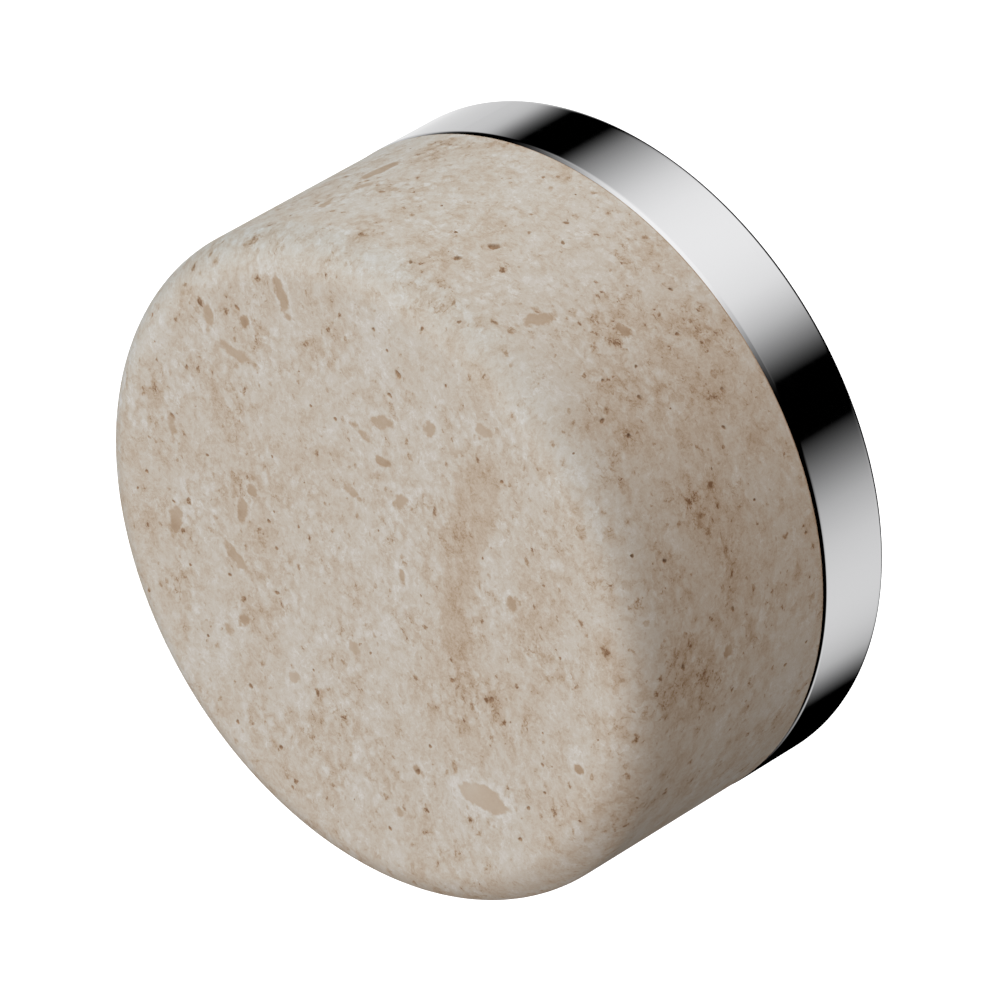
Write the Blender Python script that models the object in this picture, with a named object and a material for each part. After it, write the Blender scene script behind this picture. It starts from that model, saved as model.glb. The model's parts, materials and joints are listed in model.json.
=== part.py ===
"""Rotary control knob for a wall valve: a stone cap on a polished ring, with its drive and wall plate.

The knob turns about the Y axis and its front faces -Y. The origin is where that axis meets the wall,
and the wall's surface is the plane y = 0. Each piece is made along its own +Z, which means "out from
the wall", and two empties turn that direction to -Y: one for the fixed pieces and one for the knob.
Heights are measured out from the wall, and angles from +X towards +Z, anticlockwise from the front.
"""

import math

import bmesh
import bpy

MM = 0.001

# Clearances
GAP = 0.3 * MM  # between pieces that touch
RUNNING_CLEARANCE = 0.4 * MM  # between the turning ring and the fixed plate
WALL_CLEARANCE = 1.0 * MM  # between the turning ring and the wall

# The knob's outside
KNOB_RADIUS = 25.0 * MM
KNOB_DEPTH = KNOB_RADIUS
RING_DEPTH = 6.2 * MM
RING_EDGE = 0.35 * MM
STONE_RADIUS = KNOB_RADIUS - 0.2 * MM
STONE_FILLET = 3.1 * MM
STONE_BACK_EDGE = 0.15 * MM

RING_BACK = WALL_CLEARANCE
RING_FRONT = RING_BACK + RING_DEPTH
STONE_BACK = RING_FRONT + GAP
STONE_FRONT = RING_BACK + KNOB_DEPTH

# The fixed plate and its gasket
GASKET_THICKNESS = 1.0 * MM
GASKET_RADIUS = 20.3 * MM
GASKET_BORE = 10.8 * MM
PLATE_THICKNESS = 1.6 * MM
PLATE_RADIUS = 20.8 * MM
PLATE_BORE = 8.0 * MM
PLATE_BACK = GASKET_THICKNESS + GAP
PLATE_FRONT = PLATE_BACK + PLATE_THICKNESS

# The knob's stop: a pin in the ring's web that runs in the plate's curved slot
TURN = math.radians(90)
STOP_START = math.radians(45)
STOP_CIRCLE = 18.2 * MM
STOP_PIN_RADIUS = 1.1 * MM
STOP_PIN_LENGTH = 4.4 * MM
STOP_SLOT_HALF_WIDTH = STOP_PIN_RADIUS + GAP

# The ring's web and hub
WEB_BACK = PLATE_FRONT + RUNNING_CLEARANCE
RECESS_RADIUS = PLATE_RADIUS + 0.6 * MM
HUB_RADIUS = 10.0 * MM
HUB_BORE = 7.3 * MM
HUB_TOP = RING_FRONT + 6.8 * MM

# The stone's pocket and the carrier bonded in it
POCKET_RADIUS = 16.3 * MM
POCKET_DEPTH = 7.9 * MM
POCKET_FLOOR = STONE_BACK + POCKET_DEPTH
BOND_THICKNESS = 0.5 * MM
BOND_RADIUS = POCKET_RADIUS - GAP
INSERT_RADIUS = BOND_RADIUS - BOND_THICKNESS - GAP
INSERT_BORE = HUB_RADIUS + GAP
INSERT_TOP = POCKET_FLOOR - 2 * GAP - BOND_THICKNESS
SEAT_INNER = 17.5 * MM
SEAT_OUTER = 23.5 * MM
SEAT_GASKET_THICKNESS = 0.4 * MM
SEAT_FLOOR = STONE_BACK + SEAT_GASKET_THICKNESS + GAP

# The spindle, from its square drive end behind the wall to its splined front end
SPINDLE_RADIUS = 4.5 * MM
SPINDLE_BACK = -14.0 * MM
SPINDLE_FRONT = 9.2 * MM
SPINDLE_HOLE = 2.2 * MM
SPINDLE_HOLE_FLOOR = 0.5 * MM
DRIVE_WIDTH = 6.2 * MM
DRIVE_CORNER_RADIUS = 4.2 * MM
DRIVE_FRONT = -11.2 * MM
CLIP_GROOVE_RADIUS = 3.6 * MM
CLIP_THICKNESS = 0.8 * MM
CLIP_BACK = -10.2 * MM
SEAL_GROOVE_RADIUS = 3.3 * MM
SEAL_GROOVE_BACK = -3.9 * MM
SEAL_GROOVE_WIDTH = 1.6 * MM
SPLINE_TEETH = 12
SPLINE_DEPTH = 0.7 * MM
SPLINE_BACK = 3.3 * MM
SPLINE_PLAY = 0.2 * MM

# The spindle's bearing
SLEEVE_BORE = SPINDLE_RADIUS + GAP
SLEEVE_RADIUS = 8.0 * MM
SLEEVE_NECK = PLATE_BORE - GAP
SLEEVE_FLANGE = 10.5 * MM
SLEEVE_BACK = -8.0 * MM
SLEEVE_CHAMFER = 0.6 * MM

# The adapter between the spindle and the hub
ADAPTER_RADIUS = HUB_BORE - GAP
ADAPTER_BACK = 3.8 * MM
ADAPTER_FRONT = 11.0 * MM
ADAPTER_SCREW_HOLE = 2.4 * MM
ADAPTER_GROOVE_DEPTH = 0.8 * MM
GRUB_HEIGHT = 5.2 * MM

# Screws
CAP_SCREW_CIRCLE = 12.6 * MM
CAP_SCREW_ANGLES = [math.radians(angle) for angle in (90, 210, 330)]
PLATE_SCREW_CIRCLE = 13.2 * MM
PLATE_SCREW_ANGLES = [math.radians(angle) for angle in (30, 150, 270)]
GRUB_ANGLE = math.radians(270)
GRUB_BORE = 1.6 * MM
COUNTERSINK_DEPTH = 1.5 * MM

# Facets round a full turn
LARGE_STEPS = 64
MEDIUM_STEPS = 36
SMALL_STEPS = 24
SCREW_STEPS = 18
EDGE_STEPS = 3
FILLET_STEPS = 6

# Colour, roughness and metallic value of each material
MATERIALS = {
    "travertine": ((0.62, 0.53, 0.44), 0.55, 0.0),
    "chrome": ((0.80, 0.80, 0.81), 0.06, 1.0),
    "brass": ((0.72, 0.53, 0.25), 0.30, 1.0),
    "steel": ((0.60, 0.60, 0.61), 0.28, 1.0),
    "spring_steel": ((0.30, 0.30, 0.32), 0.35, 1.0),
    "rubber": ((0.03, 0.03, 0.03), 0.75, 0.0),
    "white_plastic": ((0.85, 0.85, 0.83), 0.45, 0.0),
    "adhesive": ((0.46, 0.44, 0.38), 0.60, 0.0),
}


def clear_scene():
    """Remove every object that is already in the file."""
    for thing in list(bpy.data.objects):
        bpy.data.objects.remove(thing, do_unlink=True)


def material(name):
    """The named material, made on its first use."""
    found = bpy.data.materials.get(name)
    if found:
        return found
    colour, roughness, metallic = MATERIALS[name]
    made = bpy.data.materials.new(name)
    made.use_nodes = True
    shader = made.node_tree.nodes["Principled BSDF"]
    shader.inputs["Base Color"].default_value = (*colour, 1.0)
    shader.inputs["Roughness"].default_value = roughness
    shader.inputs["Metallic"].default_value = metallic
    return made


def axis_empty(name):
    """An empty on the knob's axis whose +Z points out from the wall."""
    empty = bpy.data.objects.new(name, None)
    empty.rotation_euler = (math.pi / 2, 0, 0)
    bpy.context.collection.objects.link(empty)
    return empty


def finish_mesh(name, bm, parent, look):
    """Turn a bmesh into a named object with outward faces, under its parent."""
    bmesh.ops.recalc_face_normals(bm, faces=bm.faces)
    mesh = bpy.data.meshes.new(name)
    bm.to_mesh(mesh)
    bm.free()
    mesh.shade_smooth()
    mesh.set_sharp_from_angle(angle=math.radians(30))
    piece = bpy.data.objects.new(name, mesh)
    piece.parent = parent
    if look:
        mesh.materials.append(material(look))
    bpy.context.collection.objects.link(piece)
    return piece


def corner(centre, radius, start_deg, end_deg, steps):
    """Points of a round corner in (radius, height), with angles from the radial direction."""
    points = []
    for step in range(steps + 1):
        angle = math.radians(start_deg + (end_deg - start_deg) * step / steps)
        points.append((centre[0] + radius * math.cos(angle), centre[1] + radius * math.sin(angle)))
    return points


def turned(name, profile, steps, parent, look=None):
    """A piece turned on the axis. The profile closes on itself, or starts and ends on the axis."""
    bm = bmesh.new()
    verts = [bm.verts.new((radius, 0, height)) for radius, height in profile]
    edges = [bm.edges.new(pair) for pair in zip(verts, verts[1:])]
    if profile[0][0] > 0:
        edges.append(bm.edges.new((verts[-1], verts[0])))
    bmesh.ops.spin(
        bm,
        geom=verts + edges,
        cent=(0, 0, 0),
        axis=(0, 0, 1),
        angle=2 * math.pi,
        steps=steps,
        use_merge=True,
    )
    bmesh.ops.remove_doubles(bm, verts=bm.verts, dist=0.001 * MM)
    return finish_mesh(name, bm, parent, look)


def tube(inner, outer, back, front):
    """Profile of a plain ring."""
    return [(inner, back), (outer, back), (outer, front), (inner, front)]


def rod(radius, back, front):
    """Profile of a plain cylinder."""
    return [(0, back), (radius, back), (radius, front), (0, front)]


def polar(radii):
    """An outline from its radius at equal steps of angle."""
    count = len(radii)
    angles = [2 * math.pi * index / count for index in range(count)]
    return [(radius * math.cos(angle), radius * math.sin(angle)) for radius, angle in zip(radii, angles)]


def circle(radius, count):
    return polar([radius] * count)


def polygon(sides, width, corner_radius, count):
    """A regular polygon of the given width across its flats, with its corners turned off."""
    radii = []
    for index in range(count):
        from_flat = (2 * math.pi * index / count + math.pi / sides) % (2 * math.pi / sides) - math.pi / sides
        radii.append(min(width / 2 / math.cos(from_flat), corner_radius))
    return polar(radii)


def splined(tip_radius):
    """A toothed outline with four points to a tooth: two on its root and two on its tip."""
    root_radius = tip_radius - SPLINE_DEPTH
    return polar([root_radius, root_radius, tip_radius, tip_radius] * SPLINE_TEETH)


def stacked(name, sections, parent, look, wrap=False):
    """A body through (height, outline) sections with equal point counts, capped or wrapped round."""
    bm = bmesh.new()
    loops = [[bm.verts.new((x, y, height)) for x, y in outline] for height, outline in sections]
    pairs = list(zip(loops, loops[1:]))
    if wrap:
        pairs.append((loops[-1], loops[0]))
    else:
        bm.faces.new(loops[0])
        bm.faces.new(loops[-1])
    for lower, upper in pairs:
        for index in range(len(lower)):
            following = (index + 1) % len(lower)
            bm.faces.new((lower[index], lower[following], upper[following], upper[index]))
    return finish_mesh(name, bm, parent, look)


def extruded(name, outline, back, front, parent, look=None):
    """A flat outline given thickness along the axis."""
    bm = bmesh.new()
    face = bm.faces.new([bm.verts.new((x, y, back)) for x, y in outline])
    sides = bmesh.ops.extrude_face_region(bm, geom=[face], use_keep_orig=True)
    top = [item for item in sides["geom"] if isinstance(item, bmesh.types.BMVert)]
    bmesh.ops.translate(bm, verts=top, vec=(0, 0, front - back))
    return finish_mesh(name, bm, parent, look)


def arc_band(inner, outer, start, end, steps):
    """Outline of a stretch of a ring, from one angle to another."""
    angles = [start + (end - start) * step / steps for step in range(steps + 1)]
    outside = [(outer * math.cos(angle), outer * math.sin(angle)) for angle in angles]
    inside = [(inner * math.cos(angle), inner * math.sin(angle)) for angle in reversed(angles)]
    return outside + inside


def curved_slot(mid_radius, half_width, start, end, steps, end_steps):
    """Outline of a curved slot with round ends, whose centre line runs from start to end."""
    outline = []
    for step in range(steps + 1):
        angle = start + (end - start) * step / steps
        outline.append(((mid_radius + half_width) * math.cos(angle), (mid_radius + half_width) * math.sin(angle)))
    outline += slot_end(mid_radius, half_width, end, end, end_steps)
    for step in range(steps + 1):
        angle = end + (start - end) * step / steps
        outline.append(((mid_radius - half_width) * math.cos(angle), (mid_radius - half_width) * math.sin(angle)))
    outline += slot_end(mid_radius, half_width, start, start + math.pi, end_steps)
    return outline


def slot_end(mid_radius, half_width, place, first_angle, steps):
    """The inner points of a half circle that closes one end of a curved slot."""
    centre_x = mid_radius * math.cos(place)
    centre_y = mid_radius * math.sin(place)
    points = []
    for step in range(1, steps):
        angle = first_angle + math.pi * step / steps
        points.append((centre_x + half_width * math.cos(angle), centre_y + half_width * math.sin(angle)))
    return points


def place(piece, circle_radius, angle, height, turn=(0, 0, 0)):
    """Put a piece beside the axis, at an angle and a height, with its own turn."""
    piece.location = (circle_radius * math.cos(angle), circle_radius * math.sin(angle), height)
    piece.rotation_euler = turn


def outward(angle):
    """The turn that points a piece's +Z away from the axis at an angle."""
    return (0, math.pi / 2, angle)


def cut(piece, cutter):
    """Take a hidden cutter's shape out of a piece."""
    cutter.hide_render = True
    cutter.display_type = "WIRE"
    boolean = piece.modifiers.new(cutter.name, "BOOLEAN")
    boolean.operation = "DIFFERENCE"
    boolean.solver = "EXACT"
    boolean.object = cutter


def drill(piece, name, profile, parent, circle_radius, angle, height, turn=(0, 0, 0)):
    """Cut a turned hole out of a piece, beside the axis."""
    cutter = turned(name, profile, SCREW_STEPS, parent)
    place(cutter, circle_radius, angle, height, turn)
    cut(piece, cutter)


def countersunk(head_radius, shank_radius, through):
    """Profile of a countersunk hole that starts at height 0 and widens below it."""
    over = 0.5 * MM
    slope = (head_radius - shank_radius) / COUNTERSINK_DEPTH
    return [
        (0, -over),
        (head_radius + over * slope, -over),
        (shank_radius, COUNTERSINK_DEPTH),
        (shank_radius, through),
        (0, through),
    ]


def socket_screw(name, rings, socket_width, socket_depth, parent):
    """A screw from its (height, radius) rings, head first, with a hexagon socket in the head."""
    head = rings[0][0]
    hexagon = polygon(6, socket_width, socket_width, SCREW_STEPS)
    sections = [(head + socket_depth, hexagon), (head, hexagon)]
    sections += [(height, circle(radius, SCREW_STEPS)) for height, radius in rings]
    return stacked(name, sections, parent, "steel")


def stone_cap(knob):
    """The cap, with a soft front edge, a step for the seat gasket and a pocket for the carrier."""
    front_edge = (STONE_RADIUS - STONE_FILLET, STONE_FRONT - STONE_FILLET)
    back_edge = (STONE_RADIUS - STONE_BACK_EDGE, STONE_BACK + STONE_BACK_EDGE)
    profile = [
        (0, POCKET_FLOOR),
        (POCKET_RADIUS, POCKET_FLOOR),
        (POCKET_RADIUS, STONE_BACK),
        (SEAT_INNER, STONE_BACK),
        (SEAT_INNER, SEAT_FLOOR),
        (SEAT_OUTER, SEAT_FLOOR),
        (SEAT_OUTER, STONE_BACK),
    ]
    profile += corner(back_edge, STONE_BACK_EDGE, -90, 0, 1)
    profile += corner(front_edge, STONE_FILLET, 0, 90, FILLET_STEPS)
    profile += [(0, STONE_FRONT)]
    turned("stone_cap", profile, LARGE_STEPS, knob, "travertine")


def seat_gasket(knob):
    """The thin gasket in the step of the stone's back, on the ring."""
    inner = SEAT_INNER + GAP
    outer = SEAT_OUTER - GAP
    profile = tube(inner, outer, STONE_BACK, STONE_BACK + SEAT_GASKET_THICKNESS)
    turned("seat_gasket", profile, MEDIUM_STEPS, knob, "rubber")


def base_ring(knob):
    """The ring: rim, web and hub in one turned piece, drilled for its screws, pin and grub screw."""
    back_edge = (KNOB_RADIUS - RING_EDGE, RING_BACK + RING_EDGE)
    front_edge = (KNOB_RADIUS - RING_EDGE, RING_FRONT - RING_EDGE)
    profile = [
        (HUB_BORE, HUB_TOP),
        (HUB_BORE, WEB_BACK),
        (RECESS_RADIUS, WEB_BACK),
        (RECESS_RADIUS, RING_BACK),
    ]
    profile += corner(back_edge, RING_EDGE, -90, 0, EDGE_STEPS)
    profile += corner(front_edge, RING_EDGE, 0, 90, EDGE_STEPS)
    profile += [(HUB_RADIUS, RING_FRONT), (HUB_RADIUS, HUB_TOP)]
    ring = turned("base_ring", profile, LARGE_STEPS, knob, "chrome")

    through = RING_FRONT - WEB_BACK + 1.0 * MM
    for index, angle in enumerate(CAP_SCREW_ANGLES, 1):
        hole = countersunk(3.1 * MM, 1.75 * MM, through)
        drill(ring, f"cut_cap_screw_{index}", hole, knob, CAP_SCREW_CIRCLE, angle, WEB_BACK)

    pin_hole = rod(STOP_PIN_RADIUS + GAP, -0.5 * MM, 3.2 * MM)
    drill(ring, "cut_stop_pin", pin_hole, knob, STOP_CIRCLE, STOP_START, WEB_BACK)

    grub_bore = rod(GRUB_BORE, HUB_BORE - 1.0 * MM, KNOB_RADIUS + 1.0 * MM)
    drill(ring, "cut_grub_bore", grub_bore, knob, 0, 0, GRUB_HEIGHT, outward(GRUB_ANGLE))


def cap_insert(knob):
    """The carrier ring bonded in the stone, with a blind threaded hole for each cap screw."""
    profile = tube(INSERT_BORE, INSERT_RADIUS, STONE_BACK, INSERT_TOP)
    insert = turned("cap_insert", profile, MEDIUM_STEPS, knob, "brass")
    for index, angle in enumerate(CAP_SCREW_ANGLES, 1):
        hole = rod(1.7 * MM, -0.5 * MM, 5.2 * MM)
        drill(insert, f"cut_insert_hole_{index}", hole, knob, CAP_SCREW_CIRCLE, angle, STONE_BACK)


def bonding_layer(knob):
    """The adhesive round the carrier's side and over its top."""
    inner = BOND_RADIUS - BOND_THICKNESS
    back = STONE_BACK + 0.5 * MM
    top = POCKET_FLOOR - GAP
    profile = [
        (inner, back),
        (BOND_RADIUS, back),
        (BOND_RADIUS, top),
        (INSERT_BORE + GAP, top),
        (INSERT_BORE + GAP, top - BOND_THICKNESS),
        (inner, top - BOND_THICKNESS),
    ]
    turned("bonding_layer", profile, MEDIUM_STEPS, knob, "adhesive")


def cap_screws(knob):
    """The countersunk screws that pull the carrier, and the stone with it, on to the ring."""
    head_depth = 0.1 * MM
    for index, angle in enumerate(CAP_SCREW_ANGLES, 1):
        rings = [(0, 2.75 * MM), (1.5 * MM, 1.4 * MM), (8.2 * MM, 1.4 * MM), (8.7 * MM, 1.0 * MM)]
        screw = socket_screw(f"cap_screw_{index}", rings, 2.0 * MM, 1.1 * MM, knob)
        place(screw, CAP_SCREW_CIRCLE, angle, WEB_BACK + head_depth)


def stop_pin(knob):
    """The pin that runs in the plate's slot, with its ends bevelled."""
    bevel = 0.25 * MM
    profile = [
        (0, 0),
        (STOP_PIN_RADIUS - bevel, 0),
        (STOP_PIN_RADIUS, bevel),
        (STOP_PIN_RADIUS, STOP_PIN_LENGTH - bevel),
        (STOP_PIN_RADIUS - bevel, STOP_PIN_LENGTH),
        (0, STOP_PIN_LENGTH),
    ]
    pin = turned("stop_pin", profile, SCREW_STEPS, knob, "steel")
    place(pin, STOP_CIRCLE, STOP_START, PLATE_BACK + GAP)


def grub_screw(knob):
    """The screw that locks the knob on the adapter, with its point in the adapter's groove."""
    rings = [(12.2 * MM, 1.3 * MM), (7.75 * MM, 1.3 * MM), (6.9 * MM, 0.35 * MM)]
    screw = socket_screw("grub_screw", rings, 1.5 * MM, -2.0 * MM, knob)
    place(screw, 0, 0, GRUB_HEIGHT, outward(GRUB_ANGLE))


def grub_plug(knob):
    """The plug in the mouth of the grub screw's bore, with a slightly raised face."""
    back = KNOB_RADIUS - 2.2 * MM
    front = KNOB_RADIUS - 0.1 * MM
    radius = GRUB_BORE - 0.2 * MM
    profile = [
        (0, back),
        (radius, back),
        (radius, front - 0.3 * MM),
        (radius * 0.7, front - 0.1 * MM),
        (0, front),
    ]
    plug = turned("grub_plug", profile, SCREW_STEPS, knob, "chrome")
    place(plug, 0, 0, GRUB_HEIGHT, outward(GRUB_ANGLE))


def drive_spindle(knob):
    """The spindle: square drive end, clip groove, seal groove, journal, splines and a screw hole."""
    count = 4 * SPLINE_TEETH
    drive = polygon(4, DRIVE_WIDTH, DRIVE_CORNER_RADIUS, count)
    journal = circle(SPINDLE_RADIUS, count)
    clip_groove = circle(CLIP_GROOVE_RADIUS, count)
    seal_groove = circle(SEAL_GROOVE_RADIUS, count)
    splines = splined(SPINDLE_RADIUS)
    hole = circle(SPINDLE_HOLE, count)
    clip_back = CLIP_BACK - GAP
    clip_front = CLIP_BACK + CLIP_THICKNESS + GAP
    seal_front = SEAL_GROOVE_BACK + SEAL_GROOVE_WIDTH
    sections = [
        (SPINDLE_BACK, drive),
        (DRIVE_FRONT, drive),
        (DRIVE_FRONT, journal),
        (clip_back, journal),
        (clip_back, clip_groove),
        (clip_front, clip_groove),
        (clip_front, journal),
        (SEAL_GROOVE_BACK, journal),
        (SEAL_GROOVE_BACK, seal_groove),
        (seal_front, seal_groove),
        (seal_front, journal),
        (SPLINE_BACK, journal),
        (SPLINE_BACK, splines),
        (SPINDLE_FRONT, splines),
        (SPINDLE_FRONT, hole),
        (SPINDLE_HOLE_FLOOR, hole),
    ]
    stacked("drive_spindle", sections, knob, "brass")


def spindle_o_ring(knob):
    """The seal in the spindle's groove."""
    section_radius = 0.5 * MM
    mid_radius = (SEAL_GROOVE_RADIUS + SLEEVE_BORE) / 2
    height = SEAL_GROOVE_BACK + SEAL_GROOVE_WIDTH / 2
    profile = corner((mid_radius, height), section_radius, 0, 360, 8)[:-1]
    turned("spindle_o_ring", profile, SMALL_STEPS, knob, "rubber")


def retaining_clip(knob):
    """The open clip in the spindle's rear groove, open towards the top."""
    opening = math.radians(70)
    start = math.radians(90) + opening / 2
    end = math.radians(450) - opening / 2
    outline = arc_band(CLIP_GROOVE_RADIUS + GAP, 6.3 * MM, start, end, SMALL_STEPS)
    extruded("retaining_clip", outline, CLIP_BACK, CLIP_BACK + CLIP_THICKNESS, knob, "spring_steel")


def wave_washer(knob):
    """The wavy spring washer between the bearing's rear end and the clip."""
    inner = SLEEVE_BORE
    outer = 7.0 * MM
    thickness = 0.3 * MM
    wave = 0.15 * MM
    middle = (SLEEVE_BACK + CLIP_BACK + CLIP_THICKNESS) / 2
    bm = bmesh.new()
    rings = []
    for step in range(MEDIUM_STEPS):
        angle = 2 * math.pi * step / MEDIUM_STEPS
        height = middle + wave * math.cos(3 * angle)
        corners = tube(inner, outer, height - thickness / 2, height + thickness / 2)
        rings.append([bm.verts.new((r * math.cos(angle), r * math.sin(angle), z)) for r, z in corners])
    for index, ring in enumerate(rings):
        following = rings[(index + 1) % len(rings)]
        for side in range(4):
            after = (side + 1) % 4
            bm.faces.new((ring[side], ring[after], following[after], following[side]))
    finish_mesh("wave_washer", bm, knob, "spring_steel")


def spline_adapter(knob):
    """The adapter: toothed inside to fit the spindle, round and grooved outside to fit the hub."""
    count = 4 * SPLINE_TEETH
    outside = circle(ADAPTER_RADIUS, count)
    groove = circle(ADAPTER_RADIUS - ADAPTER_GROOVE_DEPTH, count)
    hole = circle(ADAPTER_SCREW_HOLE, count)
    teeth = splined(SPINDLE_RADIUS + SPLINE_PLAY)
    teeth_front = SPINDLE_FRONT + GAP
    sections = [
        (ADAPTER_BACK, outside),
        (GRUB_HEIGHT - ADAPTER_GROOVE_DEPTH, outside),
        (GRUB_HEIGHT, groove),
        (GRUB_HEIGHT + ADAPTER_GROOVE_DEPTH, outside),
        (ADAPTER_FRONT, outside),
        (ADAPTER_FRONT, hole),
        (teeth_front, hole),
        (teeth_front, teeth),
        (ADAPTER_BACK, teeth),
    ]
    stacked("spline_adapter", sections, knob, "brass", wrap=True)


def lock_washer(knob):
    """The washer under the adapter screw's head."""
    profile = tube(2.3 * MM, 4.0 * MM, ADAPTER_FRONT + GAP, ADAPTER_FRONT + GAP + 0.6 * MM)
    turned("lock_washer", profile, SMALL_STEPS, knob, "spring_steel")


def adapter_screw(knob):
    """The socket-head screw that holds the adapter on the spindle."""
    under_head = ADAPTER_FRONT + 1.2 * MM
    top = under_head + 2.2 * MM
    rings = [
        (top, 3.2 * MM),
        (top - 0.2 * MM, 3.4 * MM),
        (under_head, 3.4 * MM),
        (under_head, 1.9 * MM),
        (2.0 * MM, 1.9 * MM),
        (1.5 * MM, 1.4 * MM),
    ]
    socket_screw("adapter_screw", rings, 2.5 * MM, -1.6 * MM, knob)


def bearing_sleeve(wall):
    """The flanged bush in the plate, with a nose that reaches into the wall."""
    profile = [
        (SLEEVE_BORE, PLATE_FRONT),
        (SLEEVE_BORE, SLEEVE_BACK),
        (SLEEVE_RADIUS - SLEEVE_CHAMFER, SLEEVE_BACK),
        (SLEEVE_RADIUS, SLEEVE_BACK + SLEEVE_CHAMFER),
        (SLEEVE_RADIUS, 0),
        (SLEEVE_FLANGE, 0),
        (SLEEVE_FLANGE, GASKET_THICKNESS),
        (SLEEVE_NECK, GASKET_THICKNESS),
        (SLEEVE_NECK, PLATE_FRONT),
    ]
    turned("bearing_sleeve", profile, MEDIUM_STEPS, wall, "brass")


def glide_washer(wall):
    """The low-friction washer between the bearing and the adapter."""
    profile = tube(SLEEVE_BORE + GAP, HUB_BORE - 0.4 * MM, PLATE_FRONT + GAP, ADAPTER_BACK - GAP)
    turned("glide_washer", profile, SMALL_STEPS, wall, "white_plastic")


def back_plate(wall):
    """The fixed plate, with a countersunk hole for each screw and the curved slot for the stop pin."""
    profile = tube(PLATE_BORE, PLATE_RADIUS, PLATE_BACK, PLATE_FRONT)
    plate = turned("back_plate", profile, LARGE_STEPS, wall, "steel")
    for index, angle in enumerate(PLATE_SCREW_ANGLES, 1):
        hole = countersunk(3.5 * MM, 1.85 * MM, PLATE_THICKNESS + 0.5 * MM)
        turn = (math.pi, 0, 0)
        drill(plate, f"cut_plate_screw_{index}", hole, wall, PLATE_SCREW_CIRCLE, angle, PLATE_FRONT, turn)
    outline = curved_slot(STOP_CIRCLE, STOP_SLOT_HALF_WIDTH, STOP_START, STOP_START + TURN, 16, 6)
    over = 0.5 * MM
    slot = extruded("cut_stop_slot", outline, PLATE_BACK - over, PLATE_FRONT + over, wall)
    cut(plate, slot)


def plate_screws(wall):
    """The countersunk screws that hold the plate to the valve's body in the wall."""
    head_depth = 0.1 * MM
    for index, angle in enumerate(PLATE_SCREW_ANGLES, 1):
        rings = [(0, 3.2 * MM), (1.4 * MM, 1.5 * MM), (8.8 * MM, 1.5 * MM), (9.4 * MM, 0.9 * MM)]
        screw = socket_screw(f"plate_screw_{index}", rings, 2.2 * MM, 1.0 * MM, wall)
        place(screw, PLATE_SCREW_CIRCLE, angle, PLATE_FRONT - head_depth, (math.pi, 0, 0))


def wall_gasket(wall):
    """The flat gasket between the plate and the wall, with a hole for each plate screw."""
    profile = tube(GASKET_BORE, GASKET_RADIUS, 0, GASKET_THICKNESS)
    gasket = turned("wall_gasket", profile, MEDIUM_STEPS, wall, "rubber")
    for index, angle in enumerate(PLATE_SCREW_ANGLES, 1):
        hole = rod(1.9 * MM, -0.5 * MM, GASKET_THICKNESS + 0.5 * MM)
        drill(gasket, f"cut_gasket_hole_{index}", hole, wall, PLATE_SCREW_CIRCLE, angle, 0)


def build():
    clear_scene()
    wall = axis_empty("wall_axis")
    knob = axis_empty("knob_axis")

    stone_cap(knob)
    seat_gasket(knob)
    base_ring(knob)
    cap_insert(knob)
    bonding_layer(knob)
    cap_screws(knob)
    stop_pin(knob)
    grub_screw(knob)
    grub_plug(knob)
    spline_adapter(knob)
    lock_washer(knob)
    adapter_screw(knob)
    drive_spindle(knob)
    spindle_o_ring(knob)
    retaining_clip(knob)
    wave_washer(knob)

    bearing_sleeve(wall)
    glide_washer(wall)
    back_plate(wall)
    plate_screws(wall)
    wall_gasket(wall)


build()
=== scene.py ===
import json
import math
import random

import bpy
import numpy as np
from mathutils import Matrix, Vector, geometry


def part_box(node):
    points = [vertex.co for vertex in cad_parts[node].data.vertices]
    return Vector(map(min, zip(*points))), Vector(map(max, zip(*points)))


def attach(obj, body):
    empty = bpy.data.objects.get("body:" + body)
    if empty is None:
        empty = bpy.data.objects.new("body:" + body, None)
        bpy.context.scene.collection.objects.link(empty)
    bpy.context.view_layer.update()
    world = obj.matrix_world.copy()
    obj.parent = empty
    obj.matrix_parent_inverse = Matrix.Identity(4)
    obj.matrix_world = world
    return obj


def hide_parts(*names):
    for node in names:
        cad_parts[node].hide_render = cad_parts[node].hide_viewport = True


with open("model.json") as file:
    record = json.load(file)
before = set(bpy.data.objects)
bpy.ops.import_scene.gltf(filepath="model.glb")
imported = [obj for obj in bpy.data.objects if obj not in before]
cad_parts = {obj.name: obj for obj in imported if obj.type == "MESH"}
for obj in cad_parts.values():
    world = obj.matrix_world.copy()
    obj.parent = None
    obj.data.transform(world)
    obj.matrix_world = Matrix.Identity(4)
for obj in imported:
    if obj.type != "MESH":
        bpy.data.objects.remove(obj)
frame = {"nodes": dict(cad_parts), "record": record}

"""Looks of a wall-mounted rotary knob: a honed travertine cap on a polished chrome ring.

The knob turns about the Y axis and its front faces -Y; the wall is the plane y = 0. A place on the knob
is given as (radius, height, angle): its distance from the axis, its distance out from the wall, and its
angle from +X towards +Z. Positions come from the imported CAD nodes' boxes.
"""

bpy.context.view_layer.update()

MM = 0.001
CAD_GAP = 0.3 * MM

# Camera
AZIMUTH = math.radians(42.2)
ELEVATION = math.radians(31.8)
CAMERA_DISTANCE = 0.735
CAMERA_LENS = 387.0
SENSOR_WIDTH = 36.0
AIM_RIGHT = 0.90 * MM
AIM_UP = 0.47 * MM

# Facets round a full turn
FINE_STEPS = 360
ROUND_STEPS = 160
SMALL_STEPS = 72
THREAD_STEPS = 48


def span(node):
    """(back, front, radius) of a round CAD node on the axis, with heights out from the wall."""
    low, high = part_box(node)
    return -high[1], -low[1], high[0]


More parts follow.
